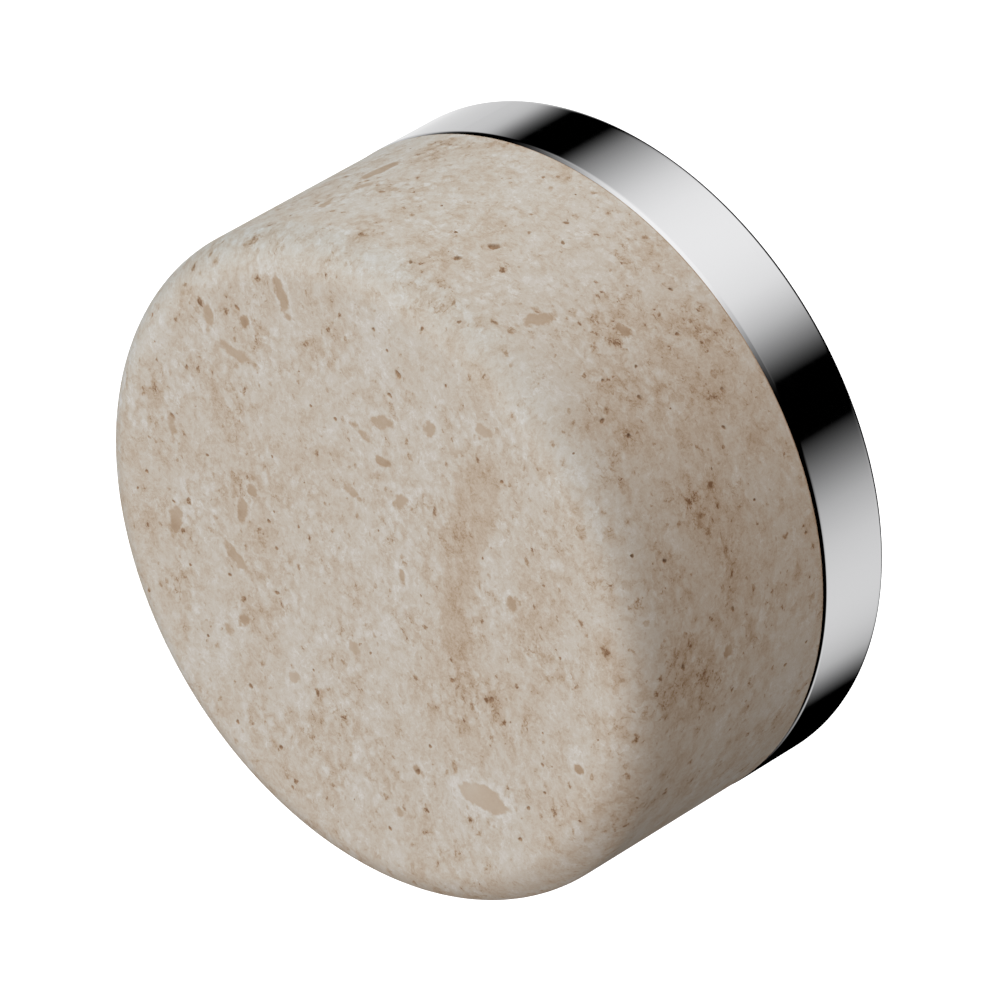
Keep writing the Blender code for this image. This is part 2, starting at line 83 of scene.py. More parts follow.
RING_BACK, HUB_TOP, KNOB_RADIUS = span("base_ring")
STONE_BACK, STONE_FRONT, STONE_RADIUS = span("stone_cap")
STONE_RADIUS += 0.15 * MM
RING_FRONT = STONE_BACK - CAD_GAP


# ---------------------------------------------------------------------------------------------------
# Node trees
# ---------------------------------------------------------------------------------------------------


class Graph:
    """Short calls that add nodes to one tree. A value may be a number, a colour or a node's output."""

    def __init__(self, tree):
        self.tree = tree
        self.tree.nodes.clear()

    def node(self, kind, inputs=None, **settings):
        made = self.tree.nodes.new(kind)
        for name, value in settings.items():
            setattr(made, name, value)
        for name, value in (inputs or {}).items():
            self.feed(made.inputs[name], value)
        return made

    def feed(self, socket, value):
        if isinstance(value, bpy.types.NodeSocket):
            self.tree.links.new(value, socket)
        else:
            socket.default_value = value

    def math(self, operation, first, second=0.0, clamp=False):
        made = self.node("ShaderNodeMath", {0: first, 1: second}, operation=operation)
        made.use_clamp = clamp
        return made.outputs[0]

    def add(self, *values):
        total = values[0]
        for value in values[1:]:
            total = self.math("ADD", total, value)
        return total

    def times(self, first, second):
        return self.math("MULTIPLY", first, second)

    def deviation(self, value, gain):
        """A noise's difference from its middle, times a gain."""
        return self.times(self.math("SUBTRACT", value, 0.5), gain)

    def blend(self, factor, first, second):
        """One number that moves from the first value to the second."""
        made = self.node("ShaderNodeMix", {"Factor": factor, 2: first, 3: second}, data_type="FLOAT")
        return made.outputs[0]

    def attribute(self, name):
        return self.node("ShaderNodeAttribute", attribute_name=name).outputs["Fac"]

    def vector(self, operation, first, second=(0.0, 0.0, 0.0)):
        made = self.node("ShaderNodeVectorMath", {0: first, 1: second}, operation=operation)
        return made.outputs["Value" if operation in ("LENGTH", "DOT_PRODUCT") else "Vector"]

    def scaled(self, vector, factor):
        made = self.node("ShaderNodeVectorMath", {0: vector, "Scale": factor}, operation="SCALE")
        return made.outputs["Vector"]

    def mapped(self, vector, location=(0, 0, 0), rotation=(0, 0, 0), scale=(1, 1, 1), kind="POINT"):
        inputs = {"Vector": vector, "Location": location, "Rotation": rotation, "Scale": scale}
        return self.node("ShaderNodeMapping", inputs, vector_type=kind).outputs[0]

    def noise(self, vector, scale, detail=2.0, roughness=0.5, colour=False):
        inputs = {"Vector": vector, "Scale": scale, "Detail": detail, "Roughness": roughness}
        made = self.node("ShaderNodeTexNoise", inputs)
        return made.outputs["Color" if colour else "Fac"]

    def cells(self, vector, scale, feature="F1"):
        return self.node("ShaderNodeTexVoronoi", {"Vector": vector, "Scale": scale}, feature=feature)

    def remap(self, value, low, high, to_low=0.0, to_high=1.0, smooth=True):
        inputs = {"Value": value, 1: low, 2: high, 3: to_low, 4: to_high}
        made = self.node("ShaderNodeMapRange", inputs)
        made.interpolation_type = "SMOOTHSTEP" if smooth else "LINEAR"
        return made.outputs[0]

    def ramp(self, value, stops, interpolation="LINEAR"):
        made = self.node("ShaderNodeValToRGB", {"Fac": value})
        elements = made.color_ramp.elements
        made.color_ramp.interpolation = interpolation
        while len(elements) < len(stops):
            elements.new(1.0)
        for element, (position, colour) in zip(elements, stops):
            element.position = position
            element.color = (*colour, 1.0) if len(colour) == 3 else colour
        return made.outputs["Color"]

    def mix(self, factor, first, second):
        made = self.node("ShaderNodeMix", data_type="RGBA")
        self.feed(made.inputs["Factor"], factor)
        self.feed(made.inputs[6], first if isinstance(first, bpy.types.NodeSocket) else (*first, 1.0))
        self.feed(made.inputs[7], second if isinstance(second, bpy.types.NodeSocket) else (*second, 1.0))
        return made.outputs[2]

    def bump(self, height, strength, distance):
        inputs = {"Height": height, "Strength": strength, "Distance": distance}
        return self.node("ShaderNodeBump", inputs).outputs["Normal"]

    def polar(self, vector):
        """(distance from the Y axis, distance along it), both from the object's own coordinates."""
        parts = self.node("ShaderNodeSeparateXYZ", {"Vector": vector}).outputs
        flat = self.node("ShaderNodeCombineXYZ", {"X": parts["X"], "Z": parts["Z"]}).outputs[0]
        return self.vector("LENGTH", flat), parts["Y"]

    def millimetres(self):
        place = self.node("ShaderNodeTexCoord").outputs["Object"]
        return self.scaled(place, 1000.0)

    def surface(self, inputs):
        shader = self.node("ShaderNodeBsdfPrincipled", inputs)
        output = self.node("ShaderNodeOutputMaterial")
        self.tree.links.new(shader.outputs[0], output.inputs["Surface"])


def new_material(name):
    made = bpy.data.materials.new(name)
    made.use_nodes = True
    return made, Graph(made.node_tree)


# ---------------------------------------------------------------------------------------------------
# Materials
# ---------------------------------------------------------------------------------------------------

# The stone's colours, from its palest calcite to the floor of a pit, by tone
STONE_TONES = [
    (0.00, (0.720, 0.695, 0.655)),
    (0.15, (0.665, 0.628, 0.578)),
    (0.32, (0.628, 0.578, 0.506)),
    (0.43, (0.606, 0.540, 0.460)),
    (0.54, (0.575, 0.487, 0.395)),
    (0.70, (0.510, 0.402, 0.302)),
    (0.86, (0.395, 0.270, 0.172)),
    (1.00, (0.240, 0.135, 0.075)),
]
BEDDING_TURN = (0.0, math.radians(-20), 0.0)


def stone_material():
    """Honed travertine: clouds and bands, crumbly mottling, filled voids, brown specks and pits, and painted shade
    along its bottom edge.
    """
    made, g = new_material("travertine")
    place = g.millimetres()
    middle = (0.5, 0.5, 0.5)
    drift = g.vector("SUBTRACT", g.noise(place, 0.16, 2.0, 0.5, colour=True), middle)
    ripple = g.vector("SUBTRACT", g.noise(place, 1.1, 3.0, 0.6, colour=True), middle)
    shiver = g.vector("SUBTRACT", g.noise(place, 5.0, 2.0, 0.6, colour=True), middle)
    warped = g.vector("ADD", place, g.scaled(drift, 4.0))
    warped = g.vector("ADD", warped, g.scaled(ripple, 0.9))
    crumbly = g.vector("ADD", place, g.scaled(ripple, 0.9))
    crumbly = g.vector("ADD", crumbly, g.scaled(shiver, 0.30))
    bedded = g.mapped(crumbly, rotation=BEDDING_TURN, scale=(1.0, 1.0, 0.75))

    clouds = g.noise(g.mapped(warped, rotation=BEDDING_TURN, scale=(1.0, 1.0, 0.4)), 0.2, 3.0, 0.55)
    mottle = g.noise(warped, 0.8, 9.0, 0.86)
    grain = g.noise(bedded, 5.0, 3.0, 0.8)
    region = g.remap(g.noise(warped, 0.22, 2.0, 0.5), 0.40, 0.62)

    blotches = g.noise(g.mapped(warped, rotation=BEDDING_TURN, scale=(1.0, 1.0, 0.6)), 0.5, 2.0, 0.5)
    edge_wander = g.deviation(g.noise(place, 0.7, 5.0, 0.7), 2.0)
    band = g.remap(g.add(g.attribute("band"), edge_wander), 0.10, 0.80)
    liveliness = g.remap(band, 0.0, 1.0, 1.0, 0.45)
    tone = g.add(
        g.times(worms(g, bedded, 1.0, 0.04), -0.20),
        g.times(curds(g, bedded, 0.75), g.remap(region, 0.0, 1.0, 0.08, 0.28)),
        g.times(worms(g, g.vector("ADD", bedded, (7.0, 3.0, 5.0)), 0.7, 0.03), g.remap(region, 0.0, 1.0, 0.08, 0.26)),
    )
    for cell_size, share, size, depth in SPECKS:
        tone = g.add(tone, g.times(specks(g, bedded, cell_size, share, size), depth))
    tone = g.add(
        g.times(tone, liveliness),
        0.385,
        g.attribute("cloud"),
        g.times(band, 0.19),
        g.deviation(clouds, 0.60),
        g.deviation(blotches, 0.45),
        g.times(g.deviation(mottle, 1.45), liveliness),
        g.deviation(grain, 0.80),
    )

    fill = g.add(g.attribute("fill"), 0.08, g.deviation(g.noise(place, 1.2, 4.0, 0.6), 1.15))
    halo = g.remap(g.math("ABSOLUTE", g.add(fill, 0.16)), 0.24, 0.02)
    tone = g.add(tone, g.times(halo, -0.10))
    shade = g.noise(place, 0.35, 1.0, 0.5)
    filled = g.add(0.72, g.attribute("cloud"), g.deviation(shade, 0.35), g.deviation(mottle, 0.4))
    tone = g.blend(g.remap(fill, -0.05, 0.16), tone, filled)
    tone = g.blend(g.attribute("pit"), tone, g.add(0.88, g.deviation(grain, 0.5)))
    # Painted shade: the stone darkens towards its bottom edge, where it meets the chrome ring
    tone = g.blend(g.times(g.attribute("painted_seam_shade"), 0.8), tone, 0.92)

    colour = g.ramp(tone, STONE_TONES)
    normal = g.bump(g.times(g.add(mottle, grain), -1.0), 0.25, 0.015 * MM)
    g.surface({"Base Color": colour, "Roughness": 0.6, "Specular IOR Level": 0.25, "Normal": normal})
    return made


# Layers of brown specks, as (cell size in mm, share of cells that have one, radius in cells, darkness)
SPECKS = [
    (3.6, 0.50, 0.13, 0.34),
    (2.4, 0.45, 0.24, 0.20),
    (1.9, 0.45, 0.20, 0.42),
    (1.0, 0.38, 0.27, 0.36),
    (0.5, 0.30, 0.32, 0.28),
]


def worms(g, place, scale, thickness):
    """Thin wandering lines, broken into short lengths."""
    level = g.math("ABSOLUTE", g.math("SUBTRACT", g.noise(place, scale, 3.0, 0.6), 0.5))
    kept = g.remap(g.noise(place, scale * 0.8, 1.0, 0.5), 0.47, 0.60)
    return g.times(g.remap(level, thickness, 0.0), kept)


def curds(g, place, cell_size):
    """Pale lumps in a darker matrix: below zero in a lump, above zero between lumps."""
    lump = g.cells(place, 1.0 / cell_size, "F1").outputs["Distance"]
    return g.remap(lump, 0.15, 0.75, -0.5, 0.5)


def specks(g, place, cell_size, share, size):
    """Soft spots in a share of the cells. size is their radius in cells."""
    cell = g.cells(place, 1.0 / cell_size)
    random_parts = g.node("ShaderNodeSeparateColor", {"Color": cell.outputs["Color"]}).outputs
    here = g.math("LESS_THAN", random_parts[0], share)
    radius = g.remap(random_parts[1], 0.0, 1.0, size * 0.4, size, smooth=False)
    depth = g.math("DIVIDE", cell.outputs["Distance"], radius)
    return g.times(here, g.remap(depth, 1.15, 0.45))


def chrome_material():
    """Mirror-polished chrome, with barely visible wiping marks in its gloss."""
    made, g = new_material("polished_chrome")
    place = g.millimetres()
    marks = g.noise(g.mapped(place, scale=(0.3, 2.0, 0.3)), 0.8, 4.0, 0.6)
    roughness = g.remap(marks, 0.3, 0.75, 0.035, 0.06)
    g.surface({"Base Color": (0.93, 0.93, 0.94, 1), "Metallic": 1.0, "Roughness": roughness})
    return made


def machined_material(name, colours, roughness, groove=0.10, depth=0.5):
    """Turned metal: fine grooves round the axis, and stains that change its colour and gloss."""
    made, g = new_material(name)
    place = g.millimetres()
    radius, along = g.polar(place)
    rings = g.node("ShaderNodeCombineXYZ", {"X": radius, "Y": along}).outputs[0]
    grooves = g.noise(rings, 1.0 / groove, 3.0, 0.7)
    stains = g.noise(place, 0.5, 4.0, 0.6)
    colour = g.ramp(g.add(g.times(grooves, 0.45), g.times(stains, 0.55)), colours)
    gloss = g.remap(stains, 0.3, 0.7, roughness * 0.8, roughness * 1.25)
    normal = g.bump(grooves, depth, 0.004 * MM)
    g.surface({"Base Color": colour, "Metallic": 1.0, "Roughness": gloss, "Normal": normal})
    return made


def brushed_material(name, colours, roughness):
    """Stamped sheet steel: straight brush lines and faint stains."""
    made, g = new_material(name)
    place = g.millimetres()
    lines = g.noise(g.mapped(place, scale=(0.06, 1.0, 9.0)), 1.2, 4.0, 0.65)
    stains = g.noise(place, 0.25, 4.0, 0.6)
    colour = g.ramp(g.add(g.times(lines, 0.6), g.times(stains, 0.4)), colours)
    gloss = g.remap(g.add(g.times(lines, 0.5), g.times(stains, 0.5)), 0.35, 0.65, roughness * 0.8, roughness * 1.2)
    normal = g.bump(lines, 0.5, 0.004 * MM)
    g.surface({"Base Color": colour, "Metallic": 1.0, "Roughness": gloss, "Normal": normal})
    return made


def soft_material(name, colours, roughness, grain, depth):
    """Rubber, plastic or adhesive: a fine moulded grain and slow changes of tone."""
    made, g = new_material(name)
    place = g.millimetres()
    fine = g.noise(place, 1.0 / grain, 4.0, 0.7)
    slow = g.noise(place, 0.4, 3.0, 0.6)
    colour = g.ramp(g.add(g.times(fine, 0.4), g.times(slow, 0.6)), colours)
    gloss = g.remap(slow, 0.3, 0.7, roughness - 0.06, roughness + 0.06)
    normal = g.bump(fine, 0.4, depth)
    g.surface({"Base Color": colour, "Roughness": gloss, "Normal": normal})
    return made


def dark_to_light(dark, light):
    """Two stops for the middle stretch of a noise."""
    return [(0.35, dark), (0.65, light)]


STONE = stone_material()
CHROME = chrome_material()
BRASS = machined_material("machined_brass", dark_to_light((0.55, 0.37, 0.15), (0.78, 0.58, 0.30)), 0.28)
SCREW_STEEL = machined_material("screw_steel", dark_to_light((0.42, 0.42, 0.43), (0.62, 0.62, 0.63)), 0.30)
SPRING_STEEL = machined_material("spring_steel", dark_to_light((0.16, 0.16, 0.18), (0.32, 0.32, 0.34)), 0.38)
PLATE_STEEL = brushed_material("plate_steel", dark_to_light((0.46, 0.46, 0.47), (0.66, 0.66, 0.67)), 0.34)
RUBBER = soft_material("black_rubber", dark_to_light((0.012, 0.012, 0.013), (0.030, 0.030, 0.031)), 0.7, 0.12, 0.02 * MM)
PLASTIC = soft_material("white_plastic", dark_to_light((0.70, 0.70, 0.67), (0.84, 0.84, 0.82)), 0.45, 0.2, 0.01 * MM)
ADHESIVE = soft_material("adhesive", dark_to_light((0.36, 0.34, 0.29), (0.50, 0.48, 0.42)), 0.55, 0.3, 0.03 * MM)


# ---------------------------------------------------------------------------------------------------
# Mesh tools
# ---------------------------------------------------------------------------------------------------


def on_knob(radius, height, angle):
    """The point in the row frame of a place given round the knob's axis."""
    return (radius * math.cos(angle), -height, radius * math.sin(angle))


def new_piece(name, points, faces, material, body, nodes, sharp=None):
    """A smooth-shaded mesh piece that rides on a body and stands for CAD nodes."""
    mesh = bpy.data.meshes.new(name)
    mesh.from_pydata([tuple(point) for point in points], [], faces)
    mesh.validate()
    mesh.shade_smooth()
    if sharp:
        mesh.set_sharp_from_angle(angle=math.radians(sharp))
    mesh.materials.append(material)
    piece = bpy.data.objects.new(name, mesh)
    bpy.context.scene.collection.objects.link(piece)
    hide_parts(*nodes)
    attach(piece, body)
    return piece


def soften(profile, edge, steps=3, closed=True):
    """A (radius, height) outline with its corners rounded, and a support point beside each round."""
    rounded = []
    count = len(profile)
    for index, here in enumerate(profile):
        if not closed and index in (0, count - 1):
            rounded.append(here)
            continue
        here = np.array(here)
        before = np.array(profile[index - 1])
        after = np.array(profile[(index + 1) % count])
        to_before = before - here
        to_after = after - here
        reach = min(edge, np.linalg.norm(to_before) / 3.2, np.linalg.norm(to_after) / 3.2)
        to_before = to_before / np.linalg.norm(to_before)
        to_after = to_after / np.linalg.norm(to_after)
        rounded.append(tuple(here + to_before * reach * 1.5))
        start = here + to_before * reach
        end = here + to_after * reach
        for step in range(steps + 1):
            t = step / steps
            rounded.append(tuple((1 - t) ** 2 * start + 2 * t * (1 - t) * here + t * t * end))
        rounded.append(tuple(here + to_after * reach * 1.5))
    return rounded


class Axle:
    """An axis that a round piece is built on, with the direction its angles start from."""

    def __init__(self, origin=(0, 0, 0), axis=(0, -1, 0), side=(1, 0, 0)):
        self.origin = np.array(origin, dtype=float)
        self.axis = np.array(axis, dtype=float)
        self.side = np.array(side, dtype=float)
        self.third = np.cross(self.axis, self.side)

    def row(self, radius, height, steps):
        """A ring of points. The radius and the height are numbers, or arrays with one value per step."""
        angle = np.arange(steps) * 2 * math.pi / steps
        radius = (np.zeros(steps) + radius)[:, None]
        height = (np.zeros(steps) + height)[:, None]
        round_part = np.cos(angle)[:, None] * self.side + np.sin(angle)[:, None] * self.third
        return self.origin + height * self.axis + radius * round_part


KNOB_AXLE = Axle()


def beside(circle_radius, angle):
    """An axle parallel to the knob's, at a place on a circle round it."""
    return Axle(origin=on_knob(circle_radius, 0, angle))


def turned(profile, steps, closed=True, axle=KNOB_AXLE):
    """(points, faces) of an outline turned round an axle. An open outline starts and ends on the axle."""
    points = []
    rows = []
    for radius, height in profile:
        if np.isscalar(radius) and radius < 1e-9:
            rows.append([len(points)])
            points.append(tuple(axle.origin + height * axle.axis))
        else:
            rows.append(list(range(len(points), len(points) + steps)))
            points += [tuple(point) for point in axle.row(radius, height, steps)]
    pairs = list(zip(rows, rows[1:]))
    if closed:
        pairs.append((rows[-1], rows[0]))
    return points, strips(pairs, steps)


def strips(pairs, steps):
    """Faces between pairs of rings of points. A ring may be a single point."""
    faces = []
    for lower, upper in pairs:
        for step in range(steps):
            following = (step + 1) % steps
            if len(lower) == 1:
                faces.append((lower[0], upper[following], upper[step]))
            elif len(upper) == 1:
                faces.append((lower[step], lower[following], upper[0]))
            else:
                faces.append((lower[step], lower[following], upper[following], upper[step]))
    return faces


# ---------------------------------------------------------------------------------------------------
# The knob
# ---------------------------------------------------------------------------------------------------

RING_EDGE = 0.35 * MM
RING_BEVEL_HEIGHT = 0.30 * MM
RING_BEVEL_WIDTH = 0.17 * MM
STONE_FILLET = 3.1 * MM
STONE_GRID = 0.33 * MM
STONE_RIM = 476
# Width of the painted shade along the stone's bottom edge, at the seam with the ring
SEAM_SHADE_WIDTH = 0.10 * MM
STONE_BOTTOM = RING_FRONT + 0.07 * MM
STONE_SEAT = STONE_BACK + 0.7 * MM
STONE_POCKET = 16.3 * MM
STONE_POCKET_FLOOR = STONE_BACK + 7.9 * MM
PIT_COUNT = 170
PIT_LOBES = 0.10
PIT_RINGS = [(1.3, 14), (1.0, 14), (0.8, 12), (0.45, 7), (0.0, 1)]

# Open pits, as (right, up, radius) in mm on the face, and (degrees, height, radius) on the wall
FACE_PITS = [
    (-11.4, 16.8, 0.16),
    (3.4, 17.5, 0.22),
    (2.6, 15.6, 0.15),
    (2.4, 19.0, 0.12),
    (-2.4, 11.7, 0.15),
    (12.7, 13.0, 0.12),
    (-8.3, 6.3, 0.10),
    (-14.4, 3.9, 0.11),
    (-20.2, 0.2, 0.15),
    (-5.9, 1.7, 0.10),
    (1.5, 4.5, 0.08),
    (-8.0, -4.5, 0.14),
    (-16.2, -5.7, 0.12),
    (8.2, -4.6, 0.15),
    (11.8, -4.6, 0.20),
    (-14.6, -10.8, 0.12),
    (-10.6, -13.2, 0.18),
    (-11.9, -16.7, 0.15),
    (-7.8, -17.0, 0.15),
    (5.0, -13.4, 0.18),
    (14.4, -14.7, 0.15),
    (16.4, -7.8, 0.12),
    (5.5, 21.9, 0.14),
]
WALL_PITS = [
    (79.0, 18.0, 0.30),
    (80.5, 20.9, 0.20),
    (76.2, 12.1, 0.14),
    (86.5, 9.5, 0.10),
    (99.0, 16.5, 0.10),
    (45.5, 17.7, 0.14),
    (35.0, 12.5, 0.12),
    (3.5, 21.5, 0.16),
    (-8.0, 10.8, 0.14),
]

# Voids filled with smooth beige cement, as (right, up, half length, half width, lean) on the face in
# millimetres and degrees, and (degrees, height, half length, half width, lean) on the wall
FACE_FILLS = [
    (-7.2, 19.3, 1.3, 0.45, 110),
    (-11.4, 13.1, 1.4, 0.42, -12),
    (-14.1, 15.0, 1.0, 0.45, 100),
    (-10.8, 15.9, 0.5, 0.45, 30),
    (1.8, 13.2, 0.95, 0.50, 15),
    (6.2, 14.4, 0.6, 0.45, 60),
    (1.9, 10.1, 0.7, 0.33, 0),
    (-1.0, 6.6, 0.9, 0.33, -30),
    (3.6, 7.7, 0.8, 0.35, 50),
    (-17.7, 5.0, 0.9, 0.25, 100),
    (-11.2, 0.7, 0.9, 0.42, 80),
    (-11.7, -3.3, 1.4, 0.45, -35),
    (-11.2, -8.0, 0.5, 0.4, 60),
    (-12.5, -9.5, 0.6, 0.3, -30),
    (-6.5, -10.8, 0.6, 0.5, 45),
    (11.0, -12.9, 2.2, 0.95, 5),
    (5.0, -13.2, 0.5, 0.28, -20),
    (3.2, -17.3, 0.4, 0.36, 60),
    (3.6, 1.7, 0.5, 0.25, 90),
    (-0.8, -5.8, 0.45, 0.4, 60),
    (-17.5, -2.7, 1.2, 0.5, 80),
    (0.0, 11.6, 0.8, 0.25, -25),
    (-10.2, 2.8, 0.4, 0.3, 60),
    (7.2, -22.2, 0.4, 0.35, 50),
    (19.7, -6.7, 0.4, 0.35, 0),
    (13.7, 3.9, 0.6, 0.45, 70),
    (11.0, 16.3, 0.6, 0.35, 0),
]
WALL_FILLS = [
    (112.0, 14.0, 1.6, 0.6, 80),
    (109.0, 16.6, 0.6, 0.3, 60),
    (110.5, 20.0, 1.0, 0.3, 100),
    (55.5, 15.4, 0.45, 0.35, 0),
    (64.0, 20.5, 1.3, 0.5, 75),
    (1.5, 17.0, 0.45, 0.4, 90),
    (12.5, 17.0, 0.35, 0.25, 0),
]


def chrome_ring():
    """The polished ring. Its web and hub are inside the knob, but it stays one turned piece."""
    recess = span("back_plate")[2] + 0.6 * MM
    web_back = span("back_plate")[1] + 0.4 * MM
    hub_bore = span("spline_adapter")[2] + CAD_GAP
    hub_radius = 10.0 * MM
    outline = [
        (hub_bore, HUB_TOP),
        (hub_bore, web_back),
        (recess, web_back),
        (recess, RING_BACK),
        (KNOB_RADIUS, RING_BACK),
        (KNOB_RADIUS, RING_FRONT - RING_BEVEL_HEIGHT),
        (KNOB_RADIUS - RING_BEVEL_WIDTH, RING_FRONT),
        (hub_radius, RING_FRONT),
        (hub_radius, HUB_TOP),
    ]
    points, faces = turned(soften(outline, RING_EDGE, 6), FINE_STEPS)
    new_piece("chrome_ring", points, faces, CHROME, "knob", ["base_ring"])


class StoneSkin:
    """The cap's outer surface, spread flat. run is the distance along the surface from the face's centre."""

    flat = STONE_RADIUS - STONE_FILLET
    wall_start = flat + STONE_FILLET * math.pi / 2
    length = wall_start + STONE_FRONT - STONE_FILLET - STONE_BOTTOM

    def place(self, run, angle):
        """Points and outward normals, as arrays with X, Y and Z in their last column."""
        bend = np.clip((run - self.flat) / STONE_FILLET, 0, math.pi / 2)
        radius = np.minimum(run, self.flat) + STONE_FILLET * np.sin(bend)
        height = STONE_FRONT - STONE_FILLET * (1 - np.cos(bend)) - np.maximum(run - self.wall_start, 0)
        points = np.stack([radius * np.cos(angle), -height, radius * np.sin(angle)], axis=-1)
        normals = np.stack([np.sin(bend) * np.cos(angle), -np.cos(bend), np.sin(bend) * np.sin(angle)], axis=-1)
        return points, normals

    def on_face(self, right, up):
        return math.hypot(right, up), math.atan2(up, right)

    def on_wall(self, degrees, height):
        return self.wall_start + STONE_FRONT - STONE_FILLET - height, math.radians(degrees)


SKIN = StoneSkin()


def stone_pits():
    """(run, angle, radius, stretch, lean, depth) of each open pit: a few placed ones, then scattered ones."""
    rng = random.Random(11)
    centres = [SKIN.on_face(x * MM, z * MM) + (size * MM,) for x, z, size in FACE_PITS]
    centres += [SKIN.on_wall(degrees, height * MM) + (size * MM,) for degrees, height, size in WALL_PITS]
    while len(centres) < PIT_COUNT:
        run = SKIN.length * math.sqrt(rng.uniform(0.002, 0.97))
        centres.append((run, rng.uniform(-math.pi, math.pi), rng.uniform(0.06, 0.15) * MM))
    pits = []
    for run, angle, size in centres:
        if all(abs(run - old[0]) > 1 * MM or abs(angle - old[1]) > 0.1 for old in pits):
            pits.append((run, angle, size, rng.uniform(1.0, 1.7), rng.uniform(0, math.pi), size * rng.uniform(0.5, 1.0)))
    return pits


def pit_reach(run, angle, pit):
    """Distance from a pit's centre as a share of its radius in that direction."""
    centre_run, centre_angle, size, stretch, lean, _ = pit
    radius = min(centre_run, SKIN.flat) if centre_run < SKIN.flat else STONE_RADIUS
    out = run - centre_run
    round_axis = ((angle - centre_angle + math.pi) % (2 * math.pi) - math.pi) * radius
    along = out * math.cos(lean) + round_axis * math.sin(lean)
    across = round_axis * math.cos(lean) - out * math.sin(lean)
    bearing = np.arctan2(across, along)
    return np.hypot(along / stretch, across) / (size * (1 + PIT_LOBES * np.sin(3 * bearing + 9 * lean)))


def skin_points(pits):
    """Flat points of the skin's mesh: even rings, cleared round each pit, and fine rings in the pits."""
    rng = np.random.default_rng(5)
    rows = round(SKIN.length / STONE_GRID)
    levels = [SKIN.length * row / rows for row in range(1, rows)] + [SKIN.length - SEAM_SHADE_WIDTH, SKIN.length]
    runs = []
    angles = []
    for run in levels:
        radius = math.hypot(*SKIN.place(np.array(run), np.array(0.0))[0][[0, 2]])
        at_rim = run > SKIN.length - 1.5 * SEAM_SHADE_WIDTH
        count = STONE_RIM if at_rim else max(6, round(2 * math.pi * radius / STONE_GRID))
        offset = 0 if at_rim else rng.uniform(0, 1)
        runs.append(np.full(count, run))
        angles.append((np.arange(count) + offset) * 2 * math.pi / count - math.pi)
    runs = np.concatenate(runs)
    angles = np.concatenate(angles)
    clear = runs > SKIN.length - 0.5 * STONE_GRID
    inside = np.zeros(len(runs), bool)
    for pit in pits:
        inside |= pit_reach(runs, angles, pit) < 1.0 + 0.6 * STONE_GRID / pit[2]
    runs = runs[clear | ~inside]
    angles = angles[clear | ~inside]
    for pit in pits:
        radius = min(pit[0], SKIN.flat) if pit[0] < SKIN.flat else STONE_RADIUS
        for reach, count in PIT_RINGS:
            turn = np.arange(count) * 2 * math.pi / count + reach
            distance = pit[2] * reach * np.hypot(np.cos(turn) * pit[3], np.sin(turn))
            bearing = np.arctan2(np.sin(turn), np.cos(turn) * pit[3])
            distance = distance * (1 + PIT_LOBES * np.sin(3 * bearing + 9 * pit[4]))
            out = distance * np.cos(bearing + pit[4])
            round_axis = distance * np.sin(bearing + pit[4])
            runs = np.append(runs, pit[0] + out)
            angles = np.append(angles, pit[1] + round_axis / radius)
    return runs, angles


def mark_depth(points, mark_list):
    """How far each point is inside the nearest of some oval marks, and below zero outside them."""
    deepest = np.full(len(points), -2.0)
    for centre, sideways, upward, half_length, half_width, lean in mark_list:
        offset = (points - centre) / MM
        right = offset @ sideways
        up = offset @ upward
        along = right * math.cos(lean) + up * math.sin(lean)
        across = up * math.cos(lean) - right * math.sin(lean)
        away = np.abs(offset @ np.cross(sideways, upward))
        depth = (1 - np.hypot(along / half_length, across / half_width)) * min(half_length, half_width)
        deepest = np.maximum(deepest, depth - away * 0.6)
    return deepest


def face_mark(x, z, half_length, half_width, lean):
    centre = np.array([x * MM, -STONE_FRONT, z * MM])
    return centre, np.array([1.0, 0, 0]), np.array([0, 0, 1.0]), half_length, half_width, math.radians(lean)


def wall_mark(degrees, height, half_length, half_width, lean):
    angle = math.radians(degrees)
    centre = np.array(on_knob(STONE_RADIUS, height * MM, angle))
    round_axis = np.array([math.sin(angle), 0, -math.cos(angle)])
    return centre, round_axis, np.array([0, 1.0, 0]), half_length, half_width, math.radians(lean)


